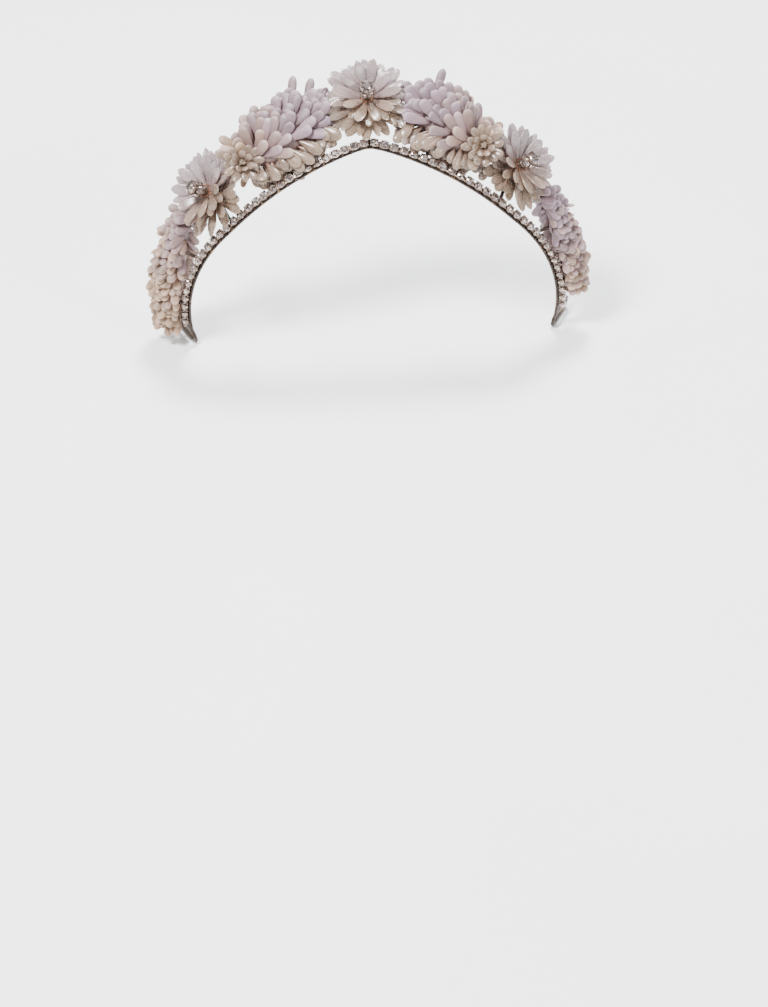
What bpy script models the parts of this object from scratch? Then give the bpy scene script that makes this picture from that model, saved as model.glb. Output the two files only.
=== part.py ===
"""A bridal tiara: a curved metal band with a row of set rhinestones, three daisies of
crystal petals and four sprays of small matte petals. It stands on the ends of its band."""

import math

import bmesh
import bpy
import numpy as np
from mathutils import Matrix, Vector

MM = 0.001

# The band is half an oval that runs on past its widest place. Angles are counted from the
# middle of the tiara, negative to the left, and heights from the band, up the ornament.
BAND_HALF_WIDTH = 75.0 * MM
BAND_RISE = 66.0 * MM
BAND_END_DEG = 98.0
STRIP_WIDTH = 3.4 * MM
STRIP_THICKNESS = 1.0 * MM
PEAK_HEIGHT = 15.5 * MM
PEAK_HALF_WIDTH = 57.0 * MM
PEAK_ROUNDING = 2.5 * MM
PEAK_POWER = 1.3
FLARE_DEG = 25.0
GAP = 0.3 * MM

# The loops at the band's ends, each with a long slot for a ribbon. The tiara stands on
# them, and their tilt sets how far it leans.
LOOP_RADIUS = 3.4 * MM
LOOP_HOLE_RADIUS = 1.6 * MM
LOOP_LENGTH = 12.0 * MM
LOOP_THICKNESS = 1.2 * MM
LOOP_DROP = 2.4 * MM
LOOP_TILT_DEG = 4.5

# The row of set rhinestones along the band.
STONE_PITCH = 4.0 * MM
STONE_RADIUS = 1.75 * MM
CUP_FOOT_RADIUS = 1.35 * MM
CUP_DEPTH = 1.5 * MM
CROWN_DEPTH = 0.7 * MM
TABLE_SHARE = 0.55
CHAIN_STRIP_WIDTH = 1.5 * MM
CHAIN_STRIP_THICKNESS = 0.5 * MM
CHAIN_END_MARGIN = 3.0 * MM

# A petal's outline: how wide it is, as a share, at shares of its length from its root.
PETAL_PROFILE = ((0.0, 0.0), (0.66, 1.0), (0.92, 0.68), (1.0, 0.0))

# The daisies: a ring of long petals behind, a ring of shorter ones in front.
HUB_RADIUS = 3.0 * MM
HUB_THICKNESS = 1.9 * MM
RING_COLUMNS = ("petals", "length", "width", "thickness", "lift_deg")
BACK_RING = dict(zip(RING_COLUMNS, (14, 17.6 * MM, 5.2 * MM, 2.4 * MM, 5.0)))
FRONT_RING = dict(zip(RING_COLUMNS, (10, 15.0 * MM, 4.8 * MM, 2.3 * MM, 27.0)))
DAISY_OUT = 2.2 * MM
DAISY_COLUMNS = ("side", "angle_deg", "height")
DAISIES = (
    ("left", -47.7, 16.5 * MM),
    ("centre", 0.0, 17.6 * MM),
    ("right", 42.4, 16.8 * MM),
)

# The jewelled button on each daisy: one large stone and a ring of small ones on a dome.
POST_RADIUS = 1.5 * MM
POST_LENGTH = 2.2 * MM
DOME_RADIUS = 2.7 * MM
TOP_STONE_RADIUS = 2.3 * MM
SIDE_STONES = 5
SIDE_STONE_RADIUS = 1.3 * MM
SIDE_STONE_TILT_DEG = 68.0

# The sprays: a full body along a branch, from a side daisy to the middle one or down to
# the end of the band, with a petal standing on every face of it.
SPRAY_COLUMNS = (
    "name", "from_deg", "to_deg", "from_height", "to_height", "out", "core_up", "core_out",
    "along", "around", "length",
)
SPRAYS = (
    ("spray_upper_left", -34.0, -13.0, 16.0 * MM, 18.0 * MM, 4.5 * MM, 9.5 * MM, 5.0 * MM,
     9, 10, 8.0 * MM),
    ("spray_upper_right", 30.0, 12.0, 15.0 * MM, 18.5 * MM, 4.5 * MM, 9.5 * MM, 5.0 * MM,
     9, 10, 8.0 * MM),
    ("spray_lower_left", -60.0, -93.0, 15.5 * MM, 8.5 * MM, 3.2 * MM, 6.5 * MM, 3.3 * MM,
     9, 8, 6.0 * MM),
    ("spray_lower_right", 55.5, 84.0, 15.5 * MM, 8.3 * MM, 3.2 * MM, 6.5 * MM, 3.3 * MM,
     8, 8, 6.0 * MM),
)
SPRAY_FULLNESS = 0.6
SPRAY_LEAN = 0.35
SPRAY_STAGES = ((0.6, 0.9), (1.0, 0.5))
TRIM_STEPS = (1.0, 0.85, 0.7, 0.55, 0.4)
CLEARANCE = 0.5 * MM
WELD = 0.001 * MM
ROOT_DEPTH = 0.9 * MM

# The stems that carry the daisies and the branches.
STEM_RADIUS = 0.8 * MM
STEM_STRAIGHT = 3.2 * MM
STEM_SHARES = (0.2, 0.75)

FLARE = math.radians(FLARE_DEG)
ACROSS = Vector((0.0, 1.0, 0.0))


def radial(angle):
    """The direction straight out from the middle of the oval."""
    return Vector((math.sin(angle), 0.0, math.cos(angle)))


def upward(angle):
    """The direction in which the ornament stands up from the band: back, and flared."""
    return ACROSS * math.cos(FLARE) + radial(angle) * math.sin(FLARE)


def outward(angle):
    """The direction in which the ornament faces."""
    return radial(angle) * math.cos(FLARE) - ACROSS * math.sin(FLARE)


def peak(angle):
    """How far the band rises towards the point at its middle."""
    off_centre = math.hypot(BAND_HALF_WIDTH * math.sin(angle), PEAK_ROUNDING)
    if math.cos(angle) < 0 or off_centre > PEAK_HALF_WIDTH:
        return 0.0
    return PEAK_HEIGHT * (1 - off_centre / PEAK_HALF_WIDTH) ** PEAK_POWER


def place(angle, height=0.0, out=0.0):
    """A point of the tiara: along the band, up the ornament, and out of its face."""
    oval = Vector((BAND_HALF_WIDTH * math.sin(angle), 0.0, BAND_RISE * math.cos(angle)))
    return oval + upward(angle) * (peak(angle) + height) + outward(angle) * out


def band_axes(angle):
    """The band's own directions at an angle: along it, up across it, and out of it."""
    step = 0.002
    along = (place(angle + step) - place(angle - step)).normalized()
    out = outward(angle)
    out = (out - along * out.dot(along)).normalized()
    return along, along.cross(out) * -1.0, out


def frame_matrix(origin, x_axis, y_axis, z_axis):
    """A matrix with these three directions as its axes."""
    turn = Matrix((x_axis, y_axis, z_axis)).transposed()
    return Matrix.Translation(origin) @ turn.to_4x4()


def facing(origin, z_axis, x_hint):
    """A matrix at origin whose Z is z_axis and whose X is as near x_hint as it can be."""
    z_axis = z_axis.normalized()
    x_axis = (x_hint - z_axis * x_hint.dot(z_axis)).normalized()
    return frame_matrix(origin, x_axis, z_axis.cross(x_axis), z_axis)


def clear_scene():
    for obj in list(bpy.data.objects):
        bpy.data.objects.remove(obj)


def collection(name, hidden=False):
    made = bpy.data.collections.new(name)
    bpy.context.scene.collection.children.link(made)
    made.hide_render = hidden
    return made


def material(name, colour, roughness, metallic=0.0):
    made = bpy.data.materials.new(name)
    made.use_nodes = True
    shader = made.node_tree.nodes["Principled BSDF"]
    shader.inputs["Base Color"].default_value = (*colour, 1.0)
    shader.inputs["Roughness"].default_value = roughness
    shader.inputs["Metallic"].default_value = metallic
    return made


def mesh_from(name, bm):
    mesh = bpy.data.meshes.new(name)
    bm.to_mesh(mesh)
    bm.free()
    return mesh


def add_object(name, mesh, group, matrix=None):
    obj = bpy.data.objects.new(name, mesh)
    group.objects.link(obj)
    if matrix is not None:
        obj.matrix_world = matrix
    return obj


def add_helper(name, mesh, group, matrix=None):
    """An object that is only joined into another one."""
    obj = add_object(name, mesh, group, matrix)
    obj.hide_render = True
    obj.display_type = "WIRE"
    return obj


def petal_mesh():
    """A petal one unit long, wide and thick: narrow at its root, round at its tip."""
    bm = bmesh.new()
    bmesh.ops.create_uvsphere(bm, u_segments=6, v_segments=3, radius=1.0)
    for vertex in bm.verts:
        ring = round((vertex.co.z + 1) * 1.5)
        share, width = PETAL_PROFILE[ring]
        around = math.atan2(vertex.co.y, vertex.co.x)
        radius = 0.5 * width
        vertex.co = (radius * math.cos(around), radius * math.sin(around), share)
    return mesh_from("petal", bm)


def chaton_mesh(radius, foot_radius):
    """A round stone in its cup: a flaring cup, a crown of eight facets and a table."""
    bm = bmesh.new()
    made = bmesh.ops.create_cone(
        bm, cap_ends=True, segments=8, radius1=foot_radius, radius2=radius, depth=CUP_DEPTH
    )
    bmesh.ops.translate(bm, verts=made["verts"], vec=(0, 0, CUP_DEPTH / 2))
    top = max(bm.faces, key=lambda face: face.calc_center_median().z)
    crown = bmesh.ops.extrude_face_region(bm, geom=[top])
    bmesh.ops.delete(bm, geom=[top], context="FACES_ONLY")
    table = [item for item in crown["geom"] if isinstance(item, bmesh.types.BMVert)]
    bmesh.ops.scale(bm, vec=(TABLE_SHARE, TABLE_SHARE, 1), verts=table)
    bmesh.ops.translate(bm, vec=(0, 0, CROWN_DEPTH), verts=table)
    bmesh.ops.recalc_face_normals(bm, faces=bm.faces)
    return mesh_from("chaton", bm)


def disc_mesh(radius, depth, segments=10):
    """A round plate whose foot lies at its origin."""
    bm = bmesh.new()
    bmesh.ops.create_cone(
        bm, cap_ends=True, segments=segments, radius1=radius, radius2=radius, depth=depth
    )
    bmesh.ops.translate(bm, verts=bm.verts, vec=(0, 0, depth / 2))
    return mesh_from("disc", bm)


def loop_mesh(radius, hole_radius, length, depth, segments=12):
    """A flat ring drawn out along X from its origin, so that its hole is a long slot."""
    bm = bmesh.new()
    outline = [(hole_radius, 0.0), (radius, 0.0), (radius, depth), (hole_radius, depth)]
    turn = Matrix.Rotation(math.pi / segments, 4, "Z")
    corners = [bm.verts.new(turn @ Vector((r, 0.0, z))) for r, z in outline]
    edges = [bm.edges.new((corners[i], corners[(i + 1) % 4])) for i in range(4)]
    bmesh.ops.spin(bm, geom=corners + edges, axis=(0, 0, 1), cent=(0, 0, 0),
                   angle=math.tau, steps=segments, use_merge=True)
    bmesh.ops.remove_doubles(bm, verts=bm.verts, dist=WELD)
    for vertex in bm.verts:
        if vertex.co.x > 0:
            vertex.co.x += length
    bmesh.ops.recalc_face_normals(bm, faces=bm.faces)
    return mesh_from("loop", bm)


def dome_mesh(radius):
    bm = bmesh.new()
    bmesh.ops.create_uvsphere(bm, u_segments=8, v_segments=4, radius=radius)
    return mesh_from("dome", bm)


def ribbon_object(name, group, angles, width, thickness, out, height=0.0):
    """A strip along the band, from a grid bent to the oval and thickened by Solidify."""
    bm = bmesh.new()
    bmesh.ops.create_grid(bm, x_segments=len(angles) - 1, y_segments=1, size=1.0)
    for vertex in bm.verts:
        share = (vertex.co.x + 1) / 2
        angle = angles[round(share * (len(angles) - 1))]
        _, up, facing_out = band_axes(angle)
        across = vertex.co.y * width / 2 + height
        vertex.co = place(angle) + up * across + facing_out * out
    bmesh.ops.recalc_face_normals(bm, faces=bm.faces)
    obj = add_object(name, mesh_from(name, bm), group)
    wall = obj.modifiers.new("thickness", "SOLIDIFY")
    wall.thickness = thickness
    wall.offset = 0.0
    return obj


def tube_mesh(name, points, radius, group):
    """A round wire through the points, made a mesh so that it can be joined."""
    curve = bpy.data.curves.new(name, "CURVE")
    curve.dimensions = "3D"
    curve.bevel_depth = radius
    curve.bevel_resolution = 1
    curve.use_fill_caps = True
    spline = curve.splines.new("POLY")
    spline.points.add(len(points) - 1)
    for target, point in zip(spline.points, points):
        target.co = (*point, 1.0)
    wire = add_object(name, curve, group)
    bpy.context.view_layer.update()
    mesh = bpy.data.meshes.new_from_object(
        wire.evaluated_get(bpy.context.evaluated_depsgraph_get())
    )
    bpy.data.objects.remove(wire)
    bm = bmesh.new()
    bm.from_mesh(mesh)
    bmesh.ops.remove_doubles(bm, verts=bm.verts, dist=0.01 * MM)
    bmesh.ops.recalc_face_normals(bm, faces=bm.faces)
    bm.to_mesh(mesh)
    bm.free()
    return mesh


def islands(bm):
    """The faces of a mesh, sorted into bodies that do not touch."""
    left = set(bm.faces)
    found = []
    while left:
        edge_on = [left.pop()]
        body = set(edge_on)
        while edge_on:
            face = edge_on.pop()
            for edge in face.edges:
                for other in edge.link_faces:
                    if other in left:
                        left.discard(other)
                        body.add(other)
                        edge_on.append(other)
        found.append(body)
    return found


def signed_volume(faces):
    total = 0.0
    for face in faces:
        first = face.verts[0].co
        for one, two in zip(face.verts[1:-1], face.verts[2:]):
            total += first.dot(one.co.cross(two.co)) / 6
    return total


def fuse(obj, group):
    """Joins every object of a hidden collection into obj, with no pocket left inside."""
    union = obj.modifiers.new("fused", "BOOLEAN")
    union.operation = "UNION"
    union.operand_type = "COLLECTION"
    union.collection = group
    union.solver = "EXACT"
    bpy.context.view_layer.update()
    graph = bpy.context.evaluated_depsgraph_get()
    mesh = bpy.data.meshes.new_from_object(obj.evaluated_get(graph))
    obj.modifiers.clear()
    bm = bmesh.new()
    bm.from_mesh(mesh)
    bmesh.ops.remove_doubles(bm, verts=bm.verts, dist=WELD)
    bmesh.ops.dissolve_degenerate(bm, edges=bm.edges, dist=WELD)
    pockets = [body for body in islands(bm) if signed_volume(body) < 0]
    for body in pockets:
        bmesh.ops.delete(bm, geom=list(body), context="FACES")
    bm.to_mesh(mesh)
    bm.free()
    obj.data = mesh
    for helper in list(group.objects):
        bpy.data.objects.remove(helper)
    bpy.data.collections.remove(group)


class Petals:
    """Where petals lie: each is a root, a direction, a flat side's direction and a size."""

    SAMPLES = np.array([0.2, 0.35, 0.5, 0.65, 0.8, 0.92])
    SWELL = np.interp(SAMPLES, *zip(*PETAL_PROFILE))

    @classmethod
    def swollen(cls, root, direction, length, width):
        """Points along a petal, each with the petal's half width there."""
        points = np.array([root + direction * (length * share) for share in cls.SAMPLES])
        return np.column_stack([points, cls.SWELL * width / 2])

    @staticmethod
    def room(points, obstacles):
        """The least free distance between two sets of such points."""
        apart = np.linalg.norm(points[:, None, :3] - obstacles[None, :, :3], axis=2)
        return float((apart - points[:, None, 3] - obstacles[None, :, 3]).min())


def add_petal(name, mesh, group, root, direction, side, length, width, thickness):
    turn = facing(root - direction * ROOT_DEPTH, direction, side)
    size = Matrix.Diagonal((width, thickness, length + ROOT_DEPTH, 1.0))
    return add_helper(name, mesh, group, turn @ size)


def hub_out(level):
    """How far out of the face a daisy's back ring, front ring or button begins."""
    return DAISY_OUT + level * (HUB_THICKNESS + GAP)


def daisy_ring(side, level, ring, angle, height, petal, parts, finish, solids):
    """One ring of a daisy: a plate with petals round it. Returns the plate's object."""
    name = f"daisy_{side}_{('back', 'front')[level]}"
    out = outward(angle)
    foot = place(angle, height, hub_out(level))
    plate = disc_mesh(HUB_RADIUS * (1.0 - 0.15 * level), HUB_THICKNESS)
    plate.materials.append(finish)
    obj = add_object(name, plate, parts, facing(foot, out, upward(angle)))
    helpers = collection(name + "_petals", hidden=True)
    middle = foot + out * HUB_THICKNESS / 2
    lift = math.radians(ring["lift_deg"])
    for number in range(ring["petals"]):
        turn = math.tau * (number + 0.5 * level) / ring["petals"]
        sway = 0.035 * math.sin(5.0 * number + 2.0 * angle)
        reach = 1.0 + 0.06 * math.sin(3.7 * number + 4.0 * angle)
        flat = Matrix.Rotation(turn + sway, 4, out) @ upward(angle)
        direction = flat * math.cos(lift) + out * math.sin(lift)
        length = ring["length"] * reach
        add_petal(f"{name}_{number}", petal, helpers, middle, direction,
                  out.cross(direction), length, ring["width"], ring["thickness"])
        solids.append(Petals.swollen(middle, direction, length, ring["width"]))
    fuse(obj, helpers)
    return obj


def button(side, angle, height, parts, finish, solids):
    """The jewelled button in the middle of a daisy, on its post."""
    name = f"daisy_{side}_button"
    out = outward(angle)
    foot = place(angle, height, hub_out(2))
    post = disc_mesh(POST_RADIUS, POST_LENGTH + DOME_RADIUS / 2, segments=8)
    post.materials.append(finish)
    obj = add_object(name, post, parts, facing(foot, out, upward(angle)))
    helpers = collection(name + "_stones", hidden=True)
    middle = foot + out * (POST_LENGTH + DOME_RADIUS)
    add_helper(name + "_dome", dome_mesh(DOME_RADIUS), helpers,
               facing(middle, out, upward(angle)))
    top = chaton_mesh(TOP_STONE_RADIUS, TOP_STONE_RADIUS * 0.8)
    add_helper(name + "_top", top, helpers,
               facing(middle + out * (DOME_RADIUS - CUP_DEPTH * 0.6), out, upward(angle)))
    small = chaton_mesh(SIDE_STONE_RADIUS, SIDE_STONE_RADIUS * 0.85)
    tilt = math.radians(SIDE_STONE_TILT_DEG)
    for number in range(SIDE_STONES):
        turn = math.tau * number / SIDE_STONES
        flat = Matrix.Rotation(turn, 4, out) @ upward(angle)
        axis = flat * math.sin(tilt) + out * math.cos(tilt)
        seat = middle + axis * (DOME_RADIUS - CUP_DEPTH * 0.75)
        add_helper(f"{name}_{number}", small, helpers, facing(seat, axis, out))
    fuse(obj, helpers)
    reach = DOME_RADIUS + CUP_DEPTH
    solids.append(np.array([[*middle, reach], [*(foot + out * POST_RADIUS), POST_RADIUS]]))
    return obj


def chain(side, parts, finish, solids):
    """Half of the row of set rhinestones: cups on a thin strip, left or right."""
    sign = -1.0 if side == "left" else 1.0
    lengths, angles = walk_band(sign)
    usable = lengths[-1] - CHAIN_END_MARGIN
    count = int((usable - STONE_PITCH / 2) / STONE_PITCH) + 1
    seats = [float(np.interp(STONE_PITCH * (i + 0.5), lengths, angles)) for i in range(count)]
    ends = (STONE_PITCH * 0.06, STONE_PITCH * count)
    strip = [float(np.interp(ends[0] + (ends[1] - ends[0]) * i / count, lengths, angles))
             for i in range(count + 1)]
    foot = STRIP_THICKNESS / 2 + GAP
    name = f"chain_{side}"
    obj = ribbon_object(name, parts, strip, CHAIN_STRIP_WIDTH, CHAIN_STRIP_THICKNESS,
                        foot + CHAIN_STRIP_THICKNESS / 2)
    obj.data.materials.append(finish)
    helpers = collection(name + "_stones", hidden=True)
    cup = chaton_mesh(STONE_RADIUS, CUP_FOOT_RADIUS)
    for number, angle in enumerate(seats):
        _, up, out = band_axes(angle)
        seat = place(angle) + out * (foot + CHAIN_STRIP_THICKNESS * 0.3)
        add_helper(f"{name}_{number}", cup, helpers, facing(seat, out, up))
        solids.append(np.array([[*(seat + out * CUP_DEPTH / 2), STONE_RADIUS * 1.05]]))
    fuse(obj, helpers)
    return obj


def walk_band(sign):
    """Distances along half the band from its middle, and the angle at each."""
    angles = np.linspace(0.0, math.radians(BAND_END_DEG) * sign, 400)
    points = np.array([place(angle) for angle in angles])
    steps = np.linalg.norm(np.diff(points, axis=0), axis=1)
    return np.concatenate([[0.0], np.cumsum(steps)]), angles


def spray_point(spray, share, height_off=0.0):
    """A point of a spray's branch, with the angle it lies at."""
    angle = math.radians(spray["from_deg"] * (1 - share) + spray["to_deg"] * share)
    height = spray["from_height"] * (1 - share) + spray["to_height"] * share
    return angle, place(angle, height + height_off, spray["out"])


def ring_order(face):
    """Sorts a ball's faces ring by ring, and round each ring."""
    middle = face.calc_center_median()
    return round(middle.z, 4), round(math.atan2(middle.y, middle.x), 4)


def core_bmesh(spray):
    """The body of a spray: rings round its branch, full in the middle, slim at the ends.
    Returns it with its faces in order, from the branch's start."""
    bm = bmesh.new()
    bmesh.ops.create_uvsphere(
        bm, u_segments=spray["around"], v_segments=spray["along"], radius=1.0
    )
    faces = sorted(bm.faces, key=ring_order, reverse=True)
    for vertex in bm.verts:
        level = math.acos(max(-1.0, min(1.0, vertex.co.z))) / math.pi
        angle, middle = spray_point(spray, level)
        swell = math.hypot(vertex.co.x, vertex.co.y) ** SPRAY_FULLNESS
        around = math.atan2(vertex.co.y, vertex.co.x) + level * math.pi / spray["around"]
        up = upward(angle) * (spray["core_up"] * math.sin(around))
        out = outward(angle) * (spray["core_out"] * math.cos(around))
        vertex.co = middle + (up + out) * swell
    if signed_volume(bm.faces) < 0:
        bmesh.ops.reverse_faces(bm, faces=bm.faces)
    bm.normal_update()
    return bm, faces


def grow_petal(bm, face, direction, length):
    """Stands a petal on a face: it is drawn out in stages, and narrows to a blunt tip."""
    foot = face.calc_center_median()
    done = 0.0
    size = 1.0
    for share, width in SPRAY_STAGES:
        drawn = bmesh.ops.extrude_discrete_faces(bm, faces=[face])["faces"]
        face = drawn[0]
        for vertex in face.verts:
            across = vertex.co - foot - direction * (length * done)
            across -= direction * across.dot(direction) * share
            vertex.co = foot + direction * (length * share) + across * (width / size)
        done, size = share, width


def spray_node(spray, parts, finish, others):
    """A spray: its body, with a petal on every face that has room for one."""
    name = spray["name"]
    bm, faces = core_bmesh(spray)
    kept = []
    _, start = spray_point(spray, 0.0)
    _, end = spray_point(spray, 1.0)
    along = (end - start).normalized()
    for number, face in enumerate(faces):
        lean = along + upward(math.radians(spray["from_deg"]))
        direction = (face.normal + lean * SPRAY_LEAN).normalized()
        foot = face.calc_center_median()
        half_width = math.sqrt(face.calc_area()) / 2
        reach = spray["length"] * (1.0 + 0.14 * math.sin(4.7 * number))
        for trim in TRIM_STEPS:
            tip = foot + direction * (reach * trim)
            points = [foot.lerp(tip, share) for share in (0.1, 0.3, 0.5, 0.7, 0.85, 1.0)]
            swollen = np.array([[*point, half_width] for point in points])
            if Petals.room(swollen, others) > CLEARANCE:
                grow_petal(bm, face, direction, reach * trim)
                kept.append(swollen)
                break
    bmesh.ops.triangulate(bm, faces=bm.faces)
    mesh = mesh_from(name, bm)
    mesh.materials.append(finish)
    return add_object(name, mesh, parts), np.vstack(kept)


def stem(angle, top, number, group, solids):
    """A stem of the band, hidden until it is joined: straight up past the stones, then on."""
    inside = -STRIP_THICKNESS / 2
    points = [place(angle, 0.0, inside), place(angle, STEM_STRAIGHT, inside), top]
    name = f"stem_{number}"
    add_helper(name, tube_mesh(name, points, STEM_RADIUS, group), group)
    for start, end in zip(points, points[1:]):
        for share in np.linspace(0, 1, 20):
            solids.append(np.array([[*start.lerp(end, share), STEM_RADIUS]]))


def loop_axis(sign):
    """The direction in which an end loop is drawn out, for the left or right end."""
    _, up, out = band_axes(math.radians(BAND_END_DEG) * sign)
    return Matrix.Rotation(-math.radians(LOOP_TILT_DEG) * sign, 4, out) @ up


def band(parts, finish, solids):
    """The strip with its stems and its two end loops, all soldered into one."""
    end = math.radians(BAND_END_DEG)
    angles = [end * (2 * i / 40 - 1) for i in range(41)]
    obj = ribbon_object("band", parts, angles, STRIP_WIDTH, STRIP_THICKNESS, 0.0)
    obj.data.materials.append(finish)
    stems = collection("band_stems", hidden=True)
    number = 0
    for _, angle_deg, height in DAISIES:
        angle = math.radians(angle_deg)
        top = place(angle, height + HUB_RADIUS * 0.6, DAISY_OUT - STEM_RADIUS - GAP)
        stem(angle, top, number, stems, solids)
        number += 1
    for row in SPRAYS:
        spray = dict(zip(SPRAY_COLUMNS, row))
        for share in STEM_SHARES:
            rim = spray["core_up"] * math.sin(math.pi * share) ** SPRAY_FULLNESS
            angle, top = spray_point(spray, share, -(rim + STEM_RADIUS + 2 * GAP))
            stem(angle, top, number, stems, solids)
            number += 1
    for sign in (-1.0, 1.0):
        angle = end * sign
        along, _, out = band_axes(angle)
        middle = place(angle) + along * sign * LOOP_DROP - out * LOOP_THICKNESS / 2
        loop = loop_mesh(LOOP_RADIUS, LOOP_HOLE_RADIUS, LOOP_LENGTH, LOOP_THICKNESS)
        add_helper(f"loop_{sign:+.0f}", loop, stems, facing(middle, out, loop_axis(sign)))
    fuse(obj, stems)
    return obj


def corners_of(obj):
    matrix = np.array(obj.matrix_world)
    points = np.array([vertex.co for vertex in obj.data.vertices])
    return points @ matrix[:3, :3].T + matrix[:3, 3]


def stand_up(objects):
    """Leans the tiara until both its end loops lie along the floor, as it rests by itself."""
    bpy.context.view_layer.update()
    axis = loop_axis(1.0)
    turn = Matrix.Rotation(math.atan2(-axis.z, axis.y), 4, "X")
    points = np.vstack([corners_of(obj) for obj in objects]) @ np.array(turn)[:3, :3].T
    low, high = points.min(axis=0), points.max(axis=0)
    middle = (low + high) / 2
    shift = Matrix.Translation((-middle[0], -middle[1], -low[2]))
    for obj in objects:
        obj.matrix_world = shift @ turn @ obj.matrix_world


def build():
    clear_scene()
    parts = collection("tiara")
    metal = material("antique_gold", (0.30, 0.22, 0.15), 0.35, 1.0)
    stones = material("rhinestone", (0.82, 0.78, 0.74), 0.1)
    crystal = material("crystal_petal", (0.86, 0.80, 0.78), 0.15)
    matte = material("matte_petal", (0.72, 0.63, 0.66), 0.5)
    petal = petal_mesh()
    solids = []
    objects = [band(parts, metal, solids)]
    for side in ("left", "right"):
        objects.append(chain(side, parts, stones, solids))
    for row in DAISIES:
        daisy = dict(zip(DAISY_COLUMNS, row))
        side, height = daisy["side"], daisy["height"]
        angle = math.radians(daisy["angle_deg"])
        for level, ring in enumerate((BACK_RING, FRONT_RING)):
            objects.append(daisy_ring(side, level, ring, angle, height, petal,
                                      parts, crystal, solids))
        objects.append(button(side, angle, height, parts, stones, solids))
    band_line = np.array([[*place(a), STRIP_WIDTH / 2] for a in np.linspace(-1.7, 1.7, 140)])
    others = np.vstack([*solids, band_line])
    for row in SPRAYS:
        spray = dict(zip(SPRAY_COLUMNS, row))
        obj, kept = spray_node(spray, parts, matte, others)
        objects.append(obj)
        others = np.vstack([others, kept])
    stand_up(objects)


build()
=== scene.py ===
"""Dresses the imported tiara: a dark band with set stones, crystal daisies and petal sprays."""

import math

import bpy
import numpy as np
from mathutils import Matrix, Vector


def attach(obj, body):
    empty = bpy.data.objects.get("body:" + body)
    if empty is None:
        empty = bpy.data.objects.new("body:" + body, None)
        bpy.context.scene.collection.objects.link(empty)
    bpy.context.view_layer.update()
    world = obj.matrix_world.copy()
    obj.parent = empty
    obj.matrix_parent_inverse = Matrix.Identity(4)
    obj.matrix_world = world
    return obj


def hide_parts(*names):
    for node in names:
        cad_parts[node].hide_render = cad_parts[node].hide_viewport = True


bl_info = {
    "name": "Bridal tiara",
    "version": (1, 0, 0),
    "blender": (4, 5, 0),
    "location": "View3D > Sidebar > Tiara",
    "description": "Builds a tiara of crystal daisies and petal sprays round its packed frame",
    "category": "Object",
}

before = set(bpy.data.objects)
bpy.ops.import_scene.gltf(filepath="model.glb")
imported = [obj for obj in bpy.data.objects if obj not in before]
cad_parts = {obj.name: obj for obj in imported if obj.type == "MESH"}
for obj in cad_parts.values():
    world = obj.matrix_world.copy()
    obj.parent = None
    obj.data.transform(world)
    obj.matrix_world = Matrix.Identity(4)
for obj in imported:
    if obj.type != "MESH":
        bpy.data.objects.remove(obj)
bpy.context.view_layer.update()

MM = 0.001
TAU = math.tau


def table(columns, *rows):
    """The rows of a table, each as its values by the names of the columns."""
    return [dict(zip(columns.split(), row)) for row in rows]


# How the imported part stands: leaned about X until its end loops lie along the floor.
LEAN_DEG = 9.05164
SHIFT = Vector((1.078, -8.6615, 14.7486)) * MM
STAND = Matrix.Translation(SHIFT) @ Matrix.Rotation(math.radians(LEAN_DEG), 4, "X")

# The band, an oval that runs on past its widest place, with a soft point in its middle.
BAND_HALF_WIDTH = 75.0 * MM
BAND_RISE = 66.0 * MM
BAND_END = math.radians(98.0)
STRIP_WIDTH = 3.4 * MM
STRIP_THICKNESS = 1.0 * MM
PEAK_HEIGHT = 15.5 * MM
PEAK_HALF_WIDTH = 57.0 * MM
PEAK_ROUNDING = 2.5 * MM
PEAK_POWER = 1.3
FLARE = math.radians(25.0)
GAP = 0.3 * MM
LOOP_RADIUS = 3.4 * MM
LOOP_HOLE_RADIUS = 1.6 * MM
LOOP_LENGTH = 12.0 * MM
LOOP_THICKNESS = 1.2 * MM
LOOP_DROP = 2.4 * MM
LOOP_TILT = math.radians(4.5)

# The row of stones.
STONE_PITCH = 4.0 * MM
STONE_RADIUS = 1.75 * MM
CHAIN_STRIP_WIDTH = 1.5 * MM
CHAIN_STRIP_THICKNESS = 0.5 * MM
CHAIN_END_MARGIN = 3.0 * MM

# The daisies.
HUB_RADIUS = 3.0 * MM
HUB_THICKNESS = 1.9 * MM
DAISY_OUT = 2.2 * MM
RING_COLUMNS = "petals length width thickness lift_deg"
BACK_RINGS = table(RING_COLUMNS, (14, 17.6 * MM, 5.2 * MM, 2.4 * MM, 5.0),
                   (14, 17.0 * MM, 4.2 * MM, 1.9 * MM, 12.0))
FRONT_RINGS = table(RING_COLUMNS, (10, 15.0 * MM, 4.8 * MM, 2.3 * MM, 27.0),
                    (10, 15.0 * MM, 3.8 * MM, 1.8 * MM, 19.0))
DAISIES = (
    ("left", math.radians(-47.7), 16.5 * MM),
    ("centre", 0.0, 17.6 * MM),
    ("right", math.radians(42.4), 16.8 * MM),
)

# How unevenly a daisy's petals are set.
RING_WAVE = 0.035
RING_SWAY = 0.10
RING_REACH = 0.06
RING_LIFT_DEG = 9.0
RING_TWIST = 0.6

# The buttons. Their dressed stones are somewhat larger than the solid ones.
POST_RADIUS = 1.5 * MM
POST_LENGTH = 2.2 * MM
DOME_RADIUS = 2.7 * MM
TOP_STONE_RADIUS = 2.3 * MM
SIDE_STONES = 5
SIDE_STONE_RADIUS = 1.3 * MM
SIDE_STONE_TILT = math.radians(68.0)
CUP_DEPTH = 1.5 * MM
TOP_STONE_GROWTH = 1.15
SIDE_STONE_GROWTH = 1.2

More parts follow.
